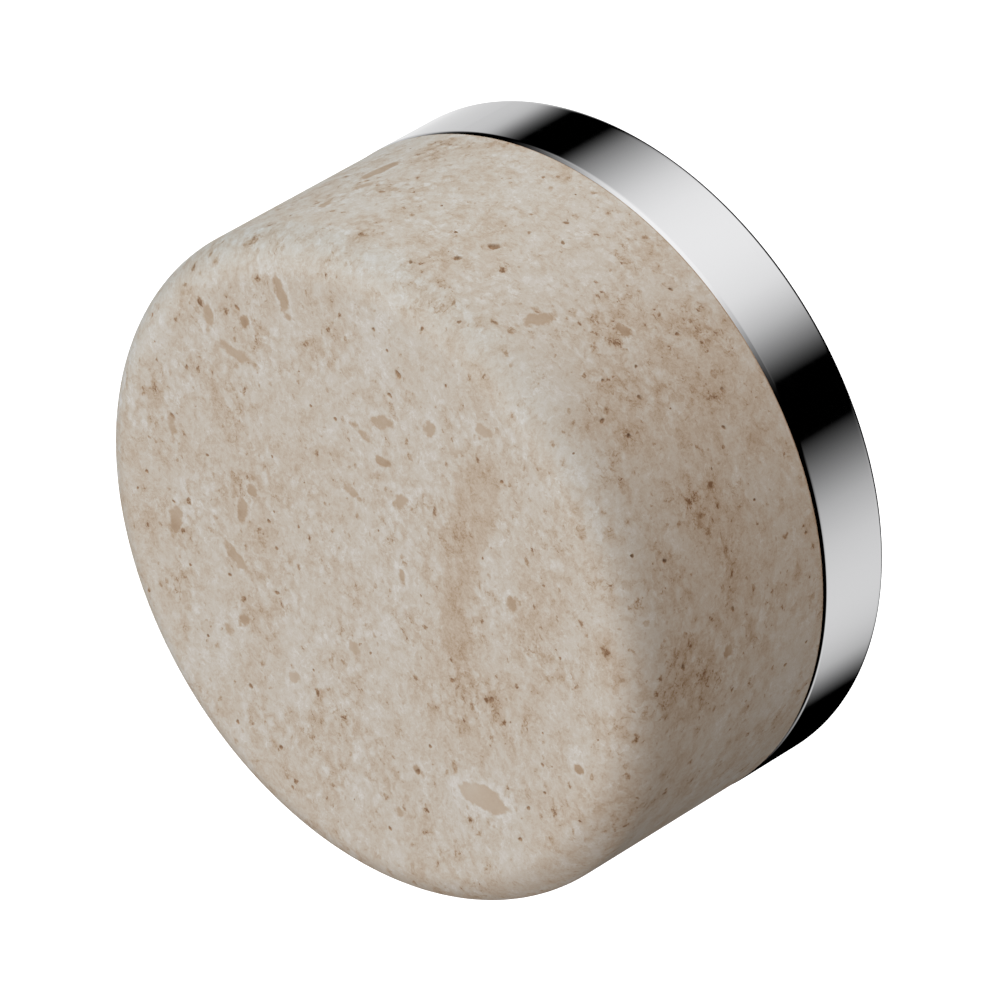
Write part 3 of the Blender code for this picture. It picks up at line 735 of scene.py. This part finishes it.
def stone():
    """The travertine cap: a fine skin with real pits, closed by the rear face and the pocket."""
    pits = stone_pits()
    runs, angles = skin_points(pits)
    flat = [Vector((run * math.cos(angle), run * math.sin(angle))) * 1000 for run, angle in zip(runs, angles)]
    corners, _, faces, *_ = geometry.delaunay_2d_cdt(flat, [], [], 0, 1e-9, False)
    corners = np.array([tuple(corner) for corner in corners]) * MM
    runs = np.hypot(corners[:, 0], corners[:, 1])
    angles = np.arctan2(corners[:, 1], corners[:, 0])
    points, normals = SKIN.place(runs, angles)

    fill = mark_depth(points, [face_mark(*mark) for mark in FACE_FILLS] + [wall_mark(*mark) for mark in WALL_FILLS])
    cloud = np.zeros(len(points))
    for strength, maker, mark in CLOUDS:
        half_width = min(mark[2:4])
        depth = mark_depth(points, [maker(*mark)])
        cloud += strength * np.clip(0.5 + depth / half_width, 0, 1)
    band = mark_depth(points, [face_mark(*mark) for mark in BAND])
    pitted = np.zeros(len(points))
    for pit in pits:
        reach = pit_reach(runs, angles, pit)
        points -= normals * (pit[5] * np.clip(1 - reach**2, 0, 1) ** 0.6)[:, None]
        pitted = np.maximum(pitted, np.clip((1.15 - reach) / 0.3, 0, 1))

    # Painted shade at the seam: 1 at the stone's bottom edge, fading to 0 over the band's width above it
    seam_shade = np.clip(1 - (SKIN.length - runs) / SEAM_SHADE_WIDTH, 0, 1)
    rim = [index for index in np.argsort(angles) if runs[index] > SKIN.length - 0.01 * MM]
    back_profile = [
        (STONE_RADIUS - 0.02 * MM, STONE_BOTTOM - 0.03 * MM),
        (STONE_RADIUS - 0.07 * MM, STONE_BOTTOM - 0.05 * MM),
        (23.5 * MM, STONE_BOTTOM - 0.05 * MM),
        (23.5 * MM, STONE_SEAT),
        (17.5 * MM, STONE_SEAT),
        (17.5 * MM, STONE_BOTTOM - 0.05 * MM),
        (STONE_POCKET, STONE_BOTTOM - 0.05 * MM),
        (STONE_POCKET, STONE_POCKET_FLOOR),
        (0, STONE_POCKET_FLOOR),
    ]
    back_points, back_faces = turned(back_profile, len(rim), closed=False)
    turn = math.atan2(points[rim[0], 2], points[rim[0], 0])
    back_points = [turned_point(point, turn) for point in back_points]
    start = len(points)
    count = len(rim)
    faces = [tuple(face) for face in faces]
    faces += [tuple(reversed([start + index for index in face])) for face in back_faces]
    for step in range(count):
        following = (step + 1) % count
        faces.append((rim[step], rim[following], start + following, start + step)[::-1])
    everything = [tuple(point) for point in points] + back_points
    piece = new_piece("travertine_cap", everything, faces, STONE, "knob", ["stone_cap"], sharp=70)
    add_attribute(piece, "fill", fill, -2.0)
    add_attribute(piece, "cloud", cloud, 0.0)
    add_attribute(piece, "band", band, -2.0)
    add_attribute(piece, "pit", pitted, 0.0)
    add_attribute(piece, "painted_seam_shade", seam_shade, 1.0)


def turned_point(point, angle):
    x, y, z = point
    return (x * math.cos(angle) - z * math.sin(angle), y, x * math.sin(angle) + z * math.cos(angle))


def add_attribute(piece, name, values, rest):
    """One number per point. Points after the given ones get the rest value."""
    layer = piece.data.attributes.new(name, "FLOAT", "POINT")
    numbers = np.full(len(piece.data.vertices), rest, dtype=np.float32)
    numbers[: len(values)] = values
    layer.data.foreach_set("value", numbers)


# The calm tan band across the face
BAND = [
    (10.2, 9.6, 6.2, 2.3, 74),
    (8.9, 5.0, 5.6, 2.2, 82),
    (8.5, -0.6, 3.4, 1.7, 88),
]

# Broad changes of tone, darker above zero, as (strength, kind of mark, mark)
CLOUDS = [
    (0.08, face_mark, (8.6, -5.5, 4.0, 1.6, 86)),
    (-0.08, face_mark, (8.8, 13.5, 4.5, 3.0, 60)),
    (-0.10, face_mark, (12.2, 2.0, 5.0, 1.3, 78)),
    (-0.20, face_mark, (11.0, -12.9, 2.6, 1.3, 5)),
    (0.09, face_mark, (18.0, 2.0, 9.0, 4.5, 80)),
    (-0.10, face_mark, (-3.0, -9.0, 7.5, 4.5, 80)),
    (-0.07, face_mark, (-17.5, 7.0, 9.0, 1.4, 70)),
    (-0.05, face_mark, (-5.0, 14.0, 5.0, 1.6, 85)),
    (-0.05, face_mark, (2.0, 3.0, 6.0, 4.0, 60)),
    (0.10, wall_mark, (18.0, 16.5, 5.0, 3.5, 20)),
    (0.12, wall_mark, (27.0, 16.5, 3.0, 1.8, 20)),
    (0.08, wall_mark, (40.0, 10.0, 5.0, 3.0, 0)),
    (0.13, wall_mark, (0.0, 20.0, 4.0, 2.5, 0)),
    (-0.10, wall_mark, (-10.0, 9.0, 5.0, 1.6, 8)),
    (0.07, wall_mark, (48.0, 15.0, 5.0, 6.0, 0)),
    (-0.06, wall_mark, (72.0, 13.0, 2.5, 7.0, 0)),
]

chrome_ring()
stone()

# ---------------------------------------------------------------------------------------------------
# The hardware
# ---------------------------------------------------------------------------------------------------

CAP_SCREW_CIRCLE = 12.6 * MM
CAP_SCREW_ANGLES = [math.radians(angle) for angle in (90, 210, 330)]
PLATE_SCREW_CIRCLE = 13.2 * MM
PLATE_SCREW_ANGLES = [math.radians(angle) for angle in (30, 150, 270)]
STOP_CIRCLE = 18.2 * MM
STOP_ANGLE = math.radians(45)
STOP_TURN = math.radians(90)
GRUB_HEIGHT = 5.2 * MM
GRUB_AXLE = Axle(origin=(0, -GRUB_HEIGHT, 0), axis=(0, 0, -1), side=(1, 0, 0))


def steps_round(steps):
    return np.arange(steps) * 2 * math.pi / steps


def flats(sides, width, corner, steps):
    """Radii of a bar with flat sides. width is across the flats."""
    half_side = math.pi / sides
    angle = (steps_round(steps) + half_side) % (2 * half_side) - half_side
    return np.minimum(width / 2 / np.cos(angle), corner)


def toothed(tip, depth, teeth, steps):
    """Radii of a splined bar."""
    wave = np.cos(teeth * steps_round(steps))
    return tip - depth * np.clip(0.5 - 1.3 * wave, 0, 1)


def thread(radius, depth, pitch, low, high, steps):
    """Rows of a screw thread that fades out at both ends."""
    rows = []
    count = round((high - low) / pitch * 8)
    for index in range(count + 1):
        height = low + (high - low) * index / count
        phase = (height / pitch - steps_round(steps) / (2 * math.pi)) % 1
        groove = np.clip(1.3 * np.abs(2 * phase - 1) - 0.15, 0, 1)
        fade = min(1, (height - low) / pitch, (high - height) / pitch)
        rows.append((radius - depth * groove * fade, height))
    return rows


def socket(head_top, width, depth, steps, upward):
    """Rows of a hexagon socket, from its floor to the edge of its mouth. upward is 1 or -1."""
    hexagon = flats(6, width, width, steps)
    floor = head_top - upward * depth
    return [
        (0, floor - upward * width * 0.25),
        (hexagon * 0.96, floor),
        (hexagon, floor + upward * 0.1 * MM),
        (hexagon, head_top - upward * 0.12 * MM),
        (hexagon + 0.1 * MM, head_top),
    ]


def add_screw(name, outline, hexagon, shank, pitch, axle, body):
    """A screw. The outline runs over the head, and the shank is (radius, height near head, height at tip)."""
    radius, near, tip = shank
    upward = 1 if near > tip else -1
    rows = socket(outline[0][1], *hexagon, THREAD_STEPS, upward)
    rows += soften([(0, outline[0][1])] + outline + [(radius, near)], 0.15 * MM, 3, closed=False)[1:]
    run_out = near - upward * 0.3 * MM
    turns = thread(radius, pitch * 0.5, pitch, *sorted((run_out, tip + upward * 0.5 * radius)), THREAD_STEPS)
    rows += turns[::-1] if upward > 0 else turns
    rows += [(radius * 0.66, tip), (0, tip)]
    if upward > 0:
        rows = rows[::-1]
    points, faces = turned(rows, THREAD_STEPS, closed=False, axle=axle)
    new_piece(name + "_fine", points, faces, SCREW_STEEL, body, [name], sharp=38)


def carve(piece, cutters):
    """Cut other pieces' shapes out of a piece and delete them."""
    for cutter in cutters:
        modifier = piece.modifiers.new("cut", "BOOLEAN")
        modifier.operation = "DIFFERENCE"
        modifier.solver = "EXACT"
        modifier.object = cutter
    bpy.context.view_layer.update()
    evaluated = piece.evaluated_get(bpy.context.evaluated_depsgraph_get())
    mesh = bpy.data.meshes.new_from_object(evaluated)
    piece.modifiers.clear()
    piece.data = mesh
    mesh.shade_smooth()
    mesh.set_sharp_from_angle(angle=math.radians(30))
    for cutter in cutters:
        bpy.data.objects.remove(cutter)


def cutter(points, faces):
    mesh = bpy.data.meshes.new("cutter")
    mesh.from_pydata([tuple(point) for point in points], [], faces)
    made = bpy.data.objects.new("cutter", mesh)
    bpy.context.scene.collection.objects.link(made)
    return made


def hole(rows, axle, steps=SMALL_STEPS):
    """A cutter turned from (radius, height) rows, lowest first."""
    rows = [(0, rows[0][1])] + rows + [(0, rows[-1][1])]
    return cutter(*turned(rows, steps, closed=False, axle=axle))


def slot_cutter(low, high):
    """A cutter for the curved slot that the stop pin runs in."""
    half_width = 1.4 * MM
    outline = []
    for end, facing in ((STOP_ANGLE + STOP_TURN, 1), (STOP_ANGLE, -1)):
        for step in range(13):
            turn = math.pi * step / 12
            out = half_width * math.cos(turn) * facing
            on = half_width * math.sin(turn) * facing
            outline.append((STOP_CIRCLE + out, end + on / STOP_CIRCLE))
        if facing == 1:
            inner = [(STOP_CIRCLE - half_width, end - STOP_TURN * step / 40) for step in range(1, 40)]
            outline += inner
    outline += [(STOP_CIRCLE + half_width, STOP_ANGLE + STOP_TURN * step / 40) for step in range(1, 40)]
    count = len(outline)
    points = [on_knob(radius, height, angle) for height in (low, high) for radius, angle in outline]
    faces = [tuple(range(count))[::-1], tuple(range(count, 2 * count))]
    faces += [(k, (k + 1) % count, count + (k + 1) % count, count + k) for k in range(count)]
    return cutter(points, faces)


def bored_ring():
    """Drill the ring for the grub screw, the cap screws and the stop pin."""
    ring = bpy.data.objects["chrome_ring"]
    web_back = span("back_plate")[1] + 0.4 * MM
    bore = [(1.6 * MM, 5 * MM), (1.6 * MM, KNOB_RADIUS - 0.25 * MM), (2.1 * MM, KNOB_RADIUS + 0.25 * MM)]
    cutters = [hole(bore, GRUB_AXLE)]
    sunk = [(3.3 * MM, web_back - 0.3 * MM), (1.7 * MM, web_back + 1.6 * MM), (1.7 * MM, RING_FRONT + 1 * MM)]
    cutters += [hole(sunk, beside(CAP_SCREW_CIRCLE, angle)) for angle in CAP_SCREW_ANGLES]
    pin_hole = [(1.4 * MM, web_back - 0.5 * MM), (1.4 * MM, 6.3 * MM)]
    cutters.append(hole(pin_hole, beside(STOP_CIRCLE, STOP_ANGLE)))
    carve(ring, cutters)


def back_plate():
    low, high, radius = span("back_plate")
    outline = [(8.0 * MM, low), (radius, low), (radius, high), (8.0 * MM, high)]
    points, faces = turned(soften(outline, 0.12 * MM), ROUND_STEPS)
    plate = new_piece("plate", points, faces, PLATE_STEEL, "wall_mount", ["back_plate"])
    sunk = [(1.85 * MM, low - 0.5 * MM), (1.85 * MM, high - 1.5 * MM), (3.5 * MM, high + 0.05 * MM)]
    cutters = [hole(sunk, beside(PLATE_SCREW_CIRCLE, angle)) for angle in PLATE_SCREW_ANGLES]
    carve(plate, cutters + [slot_cutter(low - 0.5 * MM, high + 0.5 * MM)])


def wall_gasket():
    """The rubber gasket, with two raised sealing beads on its rear face."""
    low, high, radius = span("wall_gasket")
    inner = span("bearing_sleeve")[2] + CAD_GAP
    bead_height = 0.18 * MM
    outline = [(inner, low + bead_height), (inner + 1.1 * MM, low + bead_height)]
    for middle in (inner + 1.5 * MM, radius - 1.4 * MM):
        for step in range(9):
            turn = math.pi * step / 8
            outline.append((middle - 0.4 * MM * math.cos(turn), low + bead_height * (1 - math.sin(turn))))
    outline += [(radius - 0.15 * MM, low + bead_height), (radius, low + bead_height + 0.15 * MM)]
    outline += [(radius, high - 0.1 * MM), (radius - 0.1 * MM, high), (inner, high)]
    points, faces = turned(outline, ROUND_STEPS)
    gasket = new_piece("gasket", points, faces, RUBBER, "wall_mount", ["wall_gasket"], sharp=50)
    through = [(1.9 * MM, low - 0.5 * MM), (1.9 * MM, high + 0.5 * MM)]
    carve(gasket, [hole(through, beside(PLATE_SCREW_CIRCLE, angle)) for angle in PLATE_SCREW_ANGLES])


def bearing_sleeve():
    """The brass bush, with a fine thread on its nose."""
    bore = 4.8 * MM
    radius = 8.0 * MM
    back, front, flange = span("bearing_sleeve")
    rows = [(bore, front - 0.2 * MM), (bore, back + 0.4 * MM), (bore + 0.4 * MM, back), (6.8 * MM, back)]
    rows += thread(radius, 0.5 * MM, 1.0 * MM, back + 0.7 * MM, -0.9 * MM, ROUND_STEPS)
    rows += [(radius - 0.5 * MM, -0.7 * MM), (radius - 0.5 * MM, -0.05 * MM), (radius - 0.4 * MM, 0)]
    rows += [(flange - 0.2 * MM, 0), (flange, 0.2 * MM), (flange, 0.8 * MM), (flange - 0.2 * MM, 1.0 * MM)]
    rows += [(7.7 * MM, 1.0 * MM), (7.7 * MM, front - 0.2 * MM), (7.5 * MM, front), (bore + 0.2 * MM, front)]
    points, faces = turned(rows, ROUND_STEPS)
    new_piece("sleeve", points, faces, BRASS, "wall_mount", ["bearing_sleeve"], sharp=38)


def drive_spindle():
    """The spindle: square drive, clip and seal grooves, journal, splines and a threaded hole."""
    steps = 144
    radius = 4.5 * MM
    back, front, _ = span("drive_spindle")
    square = flats(4, 6.2 * MM, 4.2 * MM, steps)
    teeth = toothed(radius, 0.7 * MM, 12, steps)
    edge = 0.12 * MM
    rows = [(0, back), (square * 0.6, back), (square - 0.4 * MM, back), (square, back + 0.4 * MM)]
    rows += [(square, -11.3 * MM), (square * 1.01, -11.2 * MM), (radius - edge, -11.2 * MM), (radius, -11.1 * MM)]
    for groove, low, high in ((3.6 * MM, -10.5 * MM, -9.1 * MM), (3.3 * MM, -3.9 * MM, -2.3 * MM)):
        rows += [(radius, low - edge), (radius - edge, low), (groove, low + 0.02 * MM)]
        rows += [(groove, high - 0.02 * MM), (radius - edge, high), (radius, high + edge)]
    rows += [(radius, 3.2 * MM), (teeth, 3.6 * MM), (teeth, front - 0.4 * MM), (teeth - 0.35 * MM, front)]
    bored = 2.2 * MM
    rows += [(bored + 0.2 * MM, front), (bored, front - 0.2 * MM), (bored, 0.7 * MM), (0, 0.1 * MM)]
    points, faces = turned(rows, steps, closed=False)
    new_piece("spindle", points, faces, BRASS, "knob", ["drive_spindle"], sharp=30)


def spline_adapter():
    steps = 144
    low, high, radius = span("spline_adapter")
    teeth = toothed(4.7 * MM, 0.7 * MM, 12, steps)
    edge = 0.2 * MM
    groove = 0.8 * MM
    rows = [(teeth + edge, low), (radius - edge, low), (radius, low + edge), (radius, GRUB_HEIGHT - groove)]
    rows += [(radius - groove, GRUB_HEIGHT), (radius, GRUB_HEIGHT + groove), (radius, high - edge)]
    rows += [(radius - edge, high), (2.6 * MM, high), (2.4 * MM, high - edge), (2.4 * MM, 9.5 * MM)]
    rows += [(teeth, 9.48 * MM), (teeth, low + edge)]
    points, faces = turned(rows, steps)
    new_piece("adapter", points, faces, BRASS, "knob", ["spline_adapter"], sharp=30)


def retaining_clip():
    """A circlip, open towards the top, with wider ends."""
    low = -10.2 * MM
    high = -9.4 * MM
    gap = math.radians(70)
    start = math.pi / 2 + gap / 2
    sweep = 2 * math.pi - gap
    points = []
    steps = 96
    for step in range(steps + 1):
        share = step / steps
        ends = max(0, abs(2 * share - 1) - 0.88) / 0.12
        inner = 3.9 * MM
        outer = (5.9 + 0.4 * math.sin(math.pi * share)) * MM
        outer += (6.3 * MM - outer) * math.sin(math.pi / 2 * ends)
        section = soften([(inner, low), (outer, low), (outer, high), (inner, high)], 0.12 * MM, 2)
        points += [on_knob(radius, height, start + sweep * share) for radius, height in section]
    count = len(section)
    faces = [tuple(range(count)), tuple(range(steps * count, (steps + 1) * count))[::-1]]
    for step in range(steps):
        for side in range(count):
            here = step * count + side
            after = step * count + (side + 1) % count
            faces.append((here, here + count, after + count, after))
    new_piece("clip", points, faces, SPRING_STEEL, "knob", ["retaining_clip"], sharp=40)


def wave_washer():
    """The spring washer, bent into three waves."""
    inner = 4.8 * MM
    outer = 7.0 * MM
    middle = -8.7 * MM
    half = 0.14 * MM
    bend = 0.15 * MM * np.cos(3 * steps_round(ROUND_STEPS))
    outline = [(inner, middle - half), (outer, middle - half), (outer, middle + half), (inner, middle + half)]
    rows = [(radius, height + bend) for radius, height in soften(outline, 0.07 * MM, 2)]
    points, faces = turned(rows, ROUND_STEPS)
    new_piece("spring", points, faces, SPRING_STEEL, "knob", ["wave_washer"], sharp=40)


def round_parts():
    """The plain round pieces, each turned from a rounded outline."""
    seal = [(4.05 * MM + 0.5 * MM * math.cos(t), -3.1 * MM + 0.5 * MM * math.sin(t)) for t in steps_round(20)]
    gasket = [(17.8 * MM, 7.5 * MM), (23.2 * MM, 7.5 * MM), (23.2 * MM, 7.9 * MM), (17.8 * MM, 7.9 * MM)]
    glide = [(5.1 * MM, 3.2 * MM), (6.9 * MM, 3.2 * MM), (6.9 * MM, 3.5 * MM), (5.1 * MM, 3.5 * MM)]
    lock = [(2.3 * MM, 11.3 * MM), (4.0 * MM, 11.3 * MM), (4.0 * MM, 11.9 * MM), (2.3 * MM, 11.9 * MM)]
    parts = [
        ("seal", seal, RUBBER, "knob", "rubber", "spindle_o_ring"),
        ("seat", soften(gasket, 0.12 * MM), RUBBER, "knob", "rubber", "seat_gasket"),
        ("glide", soften(glide, 0.08 * MM), PLASTIC, "wall_mount", "white_plastic", "glide_washer"),
        ("lock", soften(lock, 0.12 * MM), SPRING_STEEL, "knob", "spring_steel", "lock_washer"),
    ]
    for name, outline, look, body, slot, node in parts:
        points, faces = turned(outline, ROUND_STEPS)
        new_piece(name, points, faces, look, body, [node], sharp=40)


def stop_pin():
    rows = [(0, 1.6 * MM), (0.9 * MM, 1.6 * MM), (1.1 * MM, 1.85 * MM), (1.1 * MM, 5.75 * MM)]
    rows += [(0.9 * MM, 6.0 * MM), (0, 6.0 * MM)]
    rows = soften(rows, 0.08 * MM, 2, closed=False)
    points, faces = turned(rows, SMALL_STEPS, closed=False, axle=beside(STOP_CIRCLE, STOP_ANGLE))
    new_piece("pin", points, faces, SCREW_STEEL, "knob", ["stop_pin"], sharp=40)


def grub_plug():
    """The chrome plug in the mouth of the grub screw's bore."""
    rows = [(0, 22.8 * MM), (1.2 * MM, 22.8 * MM), (1.4 * MM, 23.0 * MM), (1.4 * MM, 24.5 * MM)]
    rows += [(1.32 * MM, 24.66 * MM), (1.0 * MM, 24.8 * MM), (0.6 * MM, 24.87 * MM), (0, 24.9 * MM)]
    points, faces = turned(rows, SMALL_STEPS, closed=False, axle=GRUB_AXLE)
    new_piece("plug", points, faces, CHROME, "knob", ["grub_plug"], sharp=40)


def screws():
    for index, angle in enumerate(CAP_SCREW_ANGLES, 1):
        head = [(2.6 * MM, 3.4 * MM), (2.75 * MM, 3.55 * MM), (1.4 * MM, 4.9 * MM)]
        add_screw(f"cap_screw_{index}", head, (2.0 * MM, 1.1 * MM), (1.4 * MM, 5.2 * MM, 12.1 * MM), 0.5 * MM,
                  beside(CAP_SCREW_CIRCLE, angle), "knob")
    for index, angle in enumerate(PLATE_SCREW_ANGLES, 1):
        head = [(3.0 * MM, 2.8 * MM), (3.2 * MM, 2.65 * MM), (1.5 * MM, 1.4 * MM)]
        add_screw(f"plate_screw_{index}", head, (2.2 * MM, 1.0 * MM), (1.5 * MM, 1.0 * MM, -6.6 * MM), 0.5 * MM,
                  beside(PLATE_SCREW_CIRCLE, angle), "wall_mount")
    head = [(3.2 * MM, 14.4 * MM), (3.4 * MM, 14.2 * MM), (3.4 * MM, 12.2 * MM), (1.9 * MM, 12.2 * MM)]
    add_screw("adapter_screw", head, (2.5 * MM, 1.6 * MM), (1.9 * MM, 11.5 * MM, 1.5 * MM), 0.7 * MM, KNOB_AXLE, "knob")
    head = [(1.15 * MM, 12.2 * MM), (1.3 * MM, 12.0 * MM)]
    add_screw("grub_screw", head, (1.5 * MM, 1.6 * MM), (1.3 * MM, 11.8 * MM, 6.9 * MM), 0.45 * MM, GRUB_AXLE, "knob")


bored_ring()
back_plate()
wall_gasket()
bearing_sleeve()
drive_spindle()
spline_adapter()
retaining_clip()
wave_washer()
round_parts()
stop_pin()
grub_plug()
screws()

NODE_LOOKS = {
    "stone": STONE,
    "chrome": CHROME,
    "brass": BRASS,
    "screw_steel": SCREW_STEEL,
    "spring_steel": SPRING_STEEL,
    "plate_steel": PLATE_STEEL,
    "rubber": RUBBER,
    "white_plastic": PLASTIC,
    "adhesive": ADHESIVE,
}
for part in frame["record"]["subparts"]:
    node = frame["nodes"][part["node"]]
    for material_slot in node.material_slots:
        material_slot.material = NODE_LOOKS[part["material_slot"]]


# ---------------------------------------------------------------------------------------------------
# Studio
# ---------------------------------------------------------------------------------------------------

# Brightness of the studio's soft strips round the Y axis, as (angle from +X towards +Z, brightness)
STRIPS = [
    (-180, 0.62),
    (-160, 0.74),
    (-148, 0.92),
    (-140, 0.80),
    (-134, 0.00),
    (-124, 0.00),
    (-91, 0.00),
    (-82, 0.17),
    (-73, 0.52),
    (-60, 0.68),
    (-45, 0.72),
    (-27, 0.66),
    (-13, 0.48),
    (-3, 0.26),
    (8, 0.03),
    (16, 0.00),
    (30, 0.00),
    (38, 0.15),
    (48, 0.55),
    (60, 0.83),
    (80, 0.91),
    (97, 0.86),
    (108, 0.73),
    (118, 0.49),
    (128, 0.23),
    (136, 0.00),
    (152, 0.00),
    (160, 0.11),
    (168, 0.60),
    (180, 0.62),
]


# The part of the overhead strip that reaches round to the front, in the same way
OVERHEAD = [
    (-180, 0.00),
    (26, 0.00),
    (38, 0.00),
    (52, 0.50),
    (66, 0.95),
    (90, 0.95),
    (104, 0.90),
    (116, 0.40),
    (130, 0.00),
    (142, 0.00),
]


def camera():
    """A long lens at the photograph's angle, aimed a little off the middle of the knob's axis."""
    toward = Vector((
        math.sin(AZIMUTH) * math.cos(ELEVATION),
        -math.cos(AZIMUTH) * math.cos(ELEVATION),
        math.sin(ELEVATION),
    ))
    right = Vector((math.cos(AZIMUTH), math.sin(AZIMUTH), 0))
    up = toward.cross(right)
    middle = Vector((0, -(RING_BACK + STONE_FRONT) / 2, 0))
    aim = middle + right * AIM_RIGHT + up * AIM_UP
    data = bpy.data.cameras.new("camera")
    data.lens = CAMERA_LENS
    data.sensor_width = SENSOR_WIDTH
    data.clip_start = 0.01
    made = bpy.data.objects.new("camera", data)
    made.location = aim + toward * CAMERA_DISTANCE
    made.rotation_mode = "QUATERNION"
    made.rotation_quaternion = (-toward).to_track_quat("-Z", "Y")
    bpy.context.scene.collection.objects.link(made)
    bpy.context.scene.camera = made


LIGHT_DISTANCE = 0.8
LIGHT_SIZE = 0.65


def area_light(name, direction, power, colour):
    """A soft round light that shines on the knob and doesn't show in the chrome."""
    data = bpy.data.lights.new(name, "AREA")
    data.shape = "DISK"
    data.size = LIGHT_SIZE
    data.energy = power
    data.color = colour
    made = bpy.data.objects.new(name, data)
    away = Vector(direction).normalized()
    middle = Vector((0, -(RING_BACK + STONE_FRONT) / 2, 0))
    made.location = middle + away * LIGHT_DISTANCE
    made.rotation_mode = "QUATERNION"
    made.rotation_quaternion = away.to_track_quat("Z", "Y")
    made.visible_glossy = False
    made.visible_camera = False
    bpy.context.scene.collection.objects.link(made)
    return made


def studio_world():
    """White behind the knob, soft strips in what the chrome mirrors, and a dim warm fill elsewhere."""
    world = bpy.data.worlds.new("studio")
    world.use_nodes = True
    bpy.context.scene.world = world
    g = Graph(world.node_tree)
    direction = g.node("ShaderNodeTexCoord").outputs["Generated"]
    parts = g.node("ShaderNodeSeparateXYZ", {"Vector": direction}).outputs
    angle = g.math("ARCTAN2", parts["Z"], parts["X"])
    turn = g.remap(angle, -math.pi, math.pi, smooth=False)
    stops = [((degrees + 180) / 360, (level, level, level)) for degrees, level in STRIPS]
    smooth_strips = g.math("SUBTRACT", g.ramp(turn, stops, "B_SPLINE"), 0.03)
    behind = g.times(g.math("MAXIMUM", smooth_strips, 0.0), g.remap(parts["Y"], 0.86, 0.74))
    strips_behind = g.node("ShaderNodeCombineColor", {"Red": behind, "Green": behind, "Blue": behind}).outputs[0]

    overhead = [((degrees + 180) / 360, (level, level, level)) for degrees, level in OVERHEAD]
    strips_in_front = g.ramp(turn, overhead, "B_SPLINE")
    mirrored = g.mix(g.remap(parts["Y"], 0.30, 0.05), strips_behind, strips_in_front)

    height = g.remap(parts["Z"], -1.0, 1.0, smooth=False)
    fill = g.ramp(height, [(0, (0.10, 0.095, 0.09)), (1, (0.10, 0.10, 0.10))])

    path = g.node("ShaderNodeLightPath").outputs
    unseen = g.mix(path["Is Glossy Ray"], fill, mirrored)
    shown = g.mix(path["Is Camera Ray"], unseen, (1.0, 1.0, 1.0))
    background = g.node("ShaderNodeBackground", {"Color": shown, "Strength": 1.0})
    output = g.node("ShaderNodeOutputWorld")
    world.node_tree.links.new(background.outputs[0], output.inputs["Surface"])


def floor():
    """A plain pale floor, well below the knob."""
    level = -0.60
    half = 3.0
    mesh = bpy.data.meshes.new("floor")
    corners = [(-half, -half, level), (half, -half, level), (half, half, level), (-half, half, level)]
    mesh.from_pydata(corners, [], [(0, 1, 2, 3)])
    made, g = new_material("pale_floor")
    place = g.millimetres()
    shade = g.noise(place, 0.01, 3.0, 0.5)
    colour = g.ramp(shade, dark_to_light((0.95, 0.95, 0.95), (0.97, 0.97, 0.97)))
    shader = g.node("ShaderNodeBsdfDiffuse", {"Color": colour})
    glow = g.node("ShaderNodeEmission", {"Color": colour, "Strength": 1.3})
    both = g.node("ShaderNodeAddShader", {0: shader.outputs[0], 1: glow.outputs[0]})
    output = g.node("ShaderNodeOutputMaterial")
    made.node_tree.links.new(both.outputs[0], output.inputs["Surface"])
    mesh.materials.append(made)
    piece = bpy.data.objects.new("floor", mesh)
    piece.visible_glossy = False
    piece.visible_diffuse = False
    bpy.context.scene.collection.objects.link(piece)


camera()
studio_world()
floor()
area_light("key_light", (-0.34, -0.55, 0.77), 5.32, (0.85, 0.93, 1.0))
area_light("rear_light", (0.39, 0.67, 0.63), 3.92, (1.0, 0.87, 0.77))
area_light("low_light", (0.26, -0.92, -0.28), 3.49, (1.0, 0.90, 0.83))
bpy.context.scene.view_settings.view_transform = "Standard"
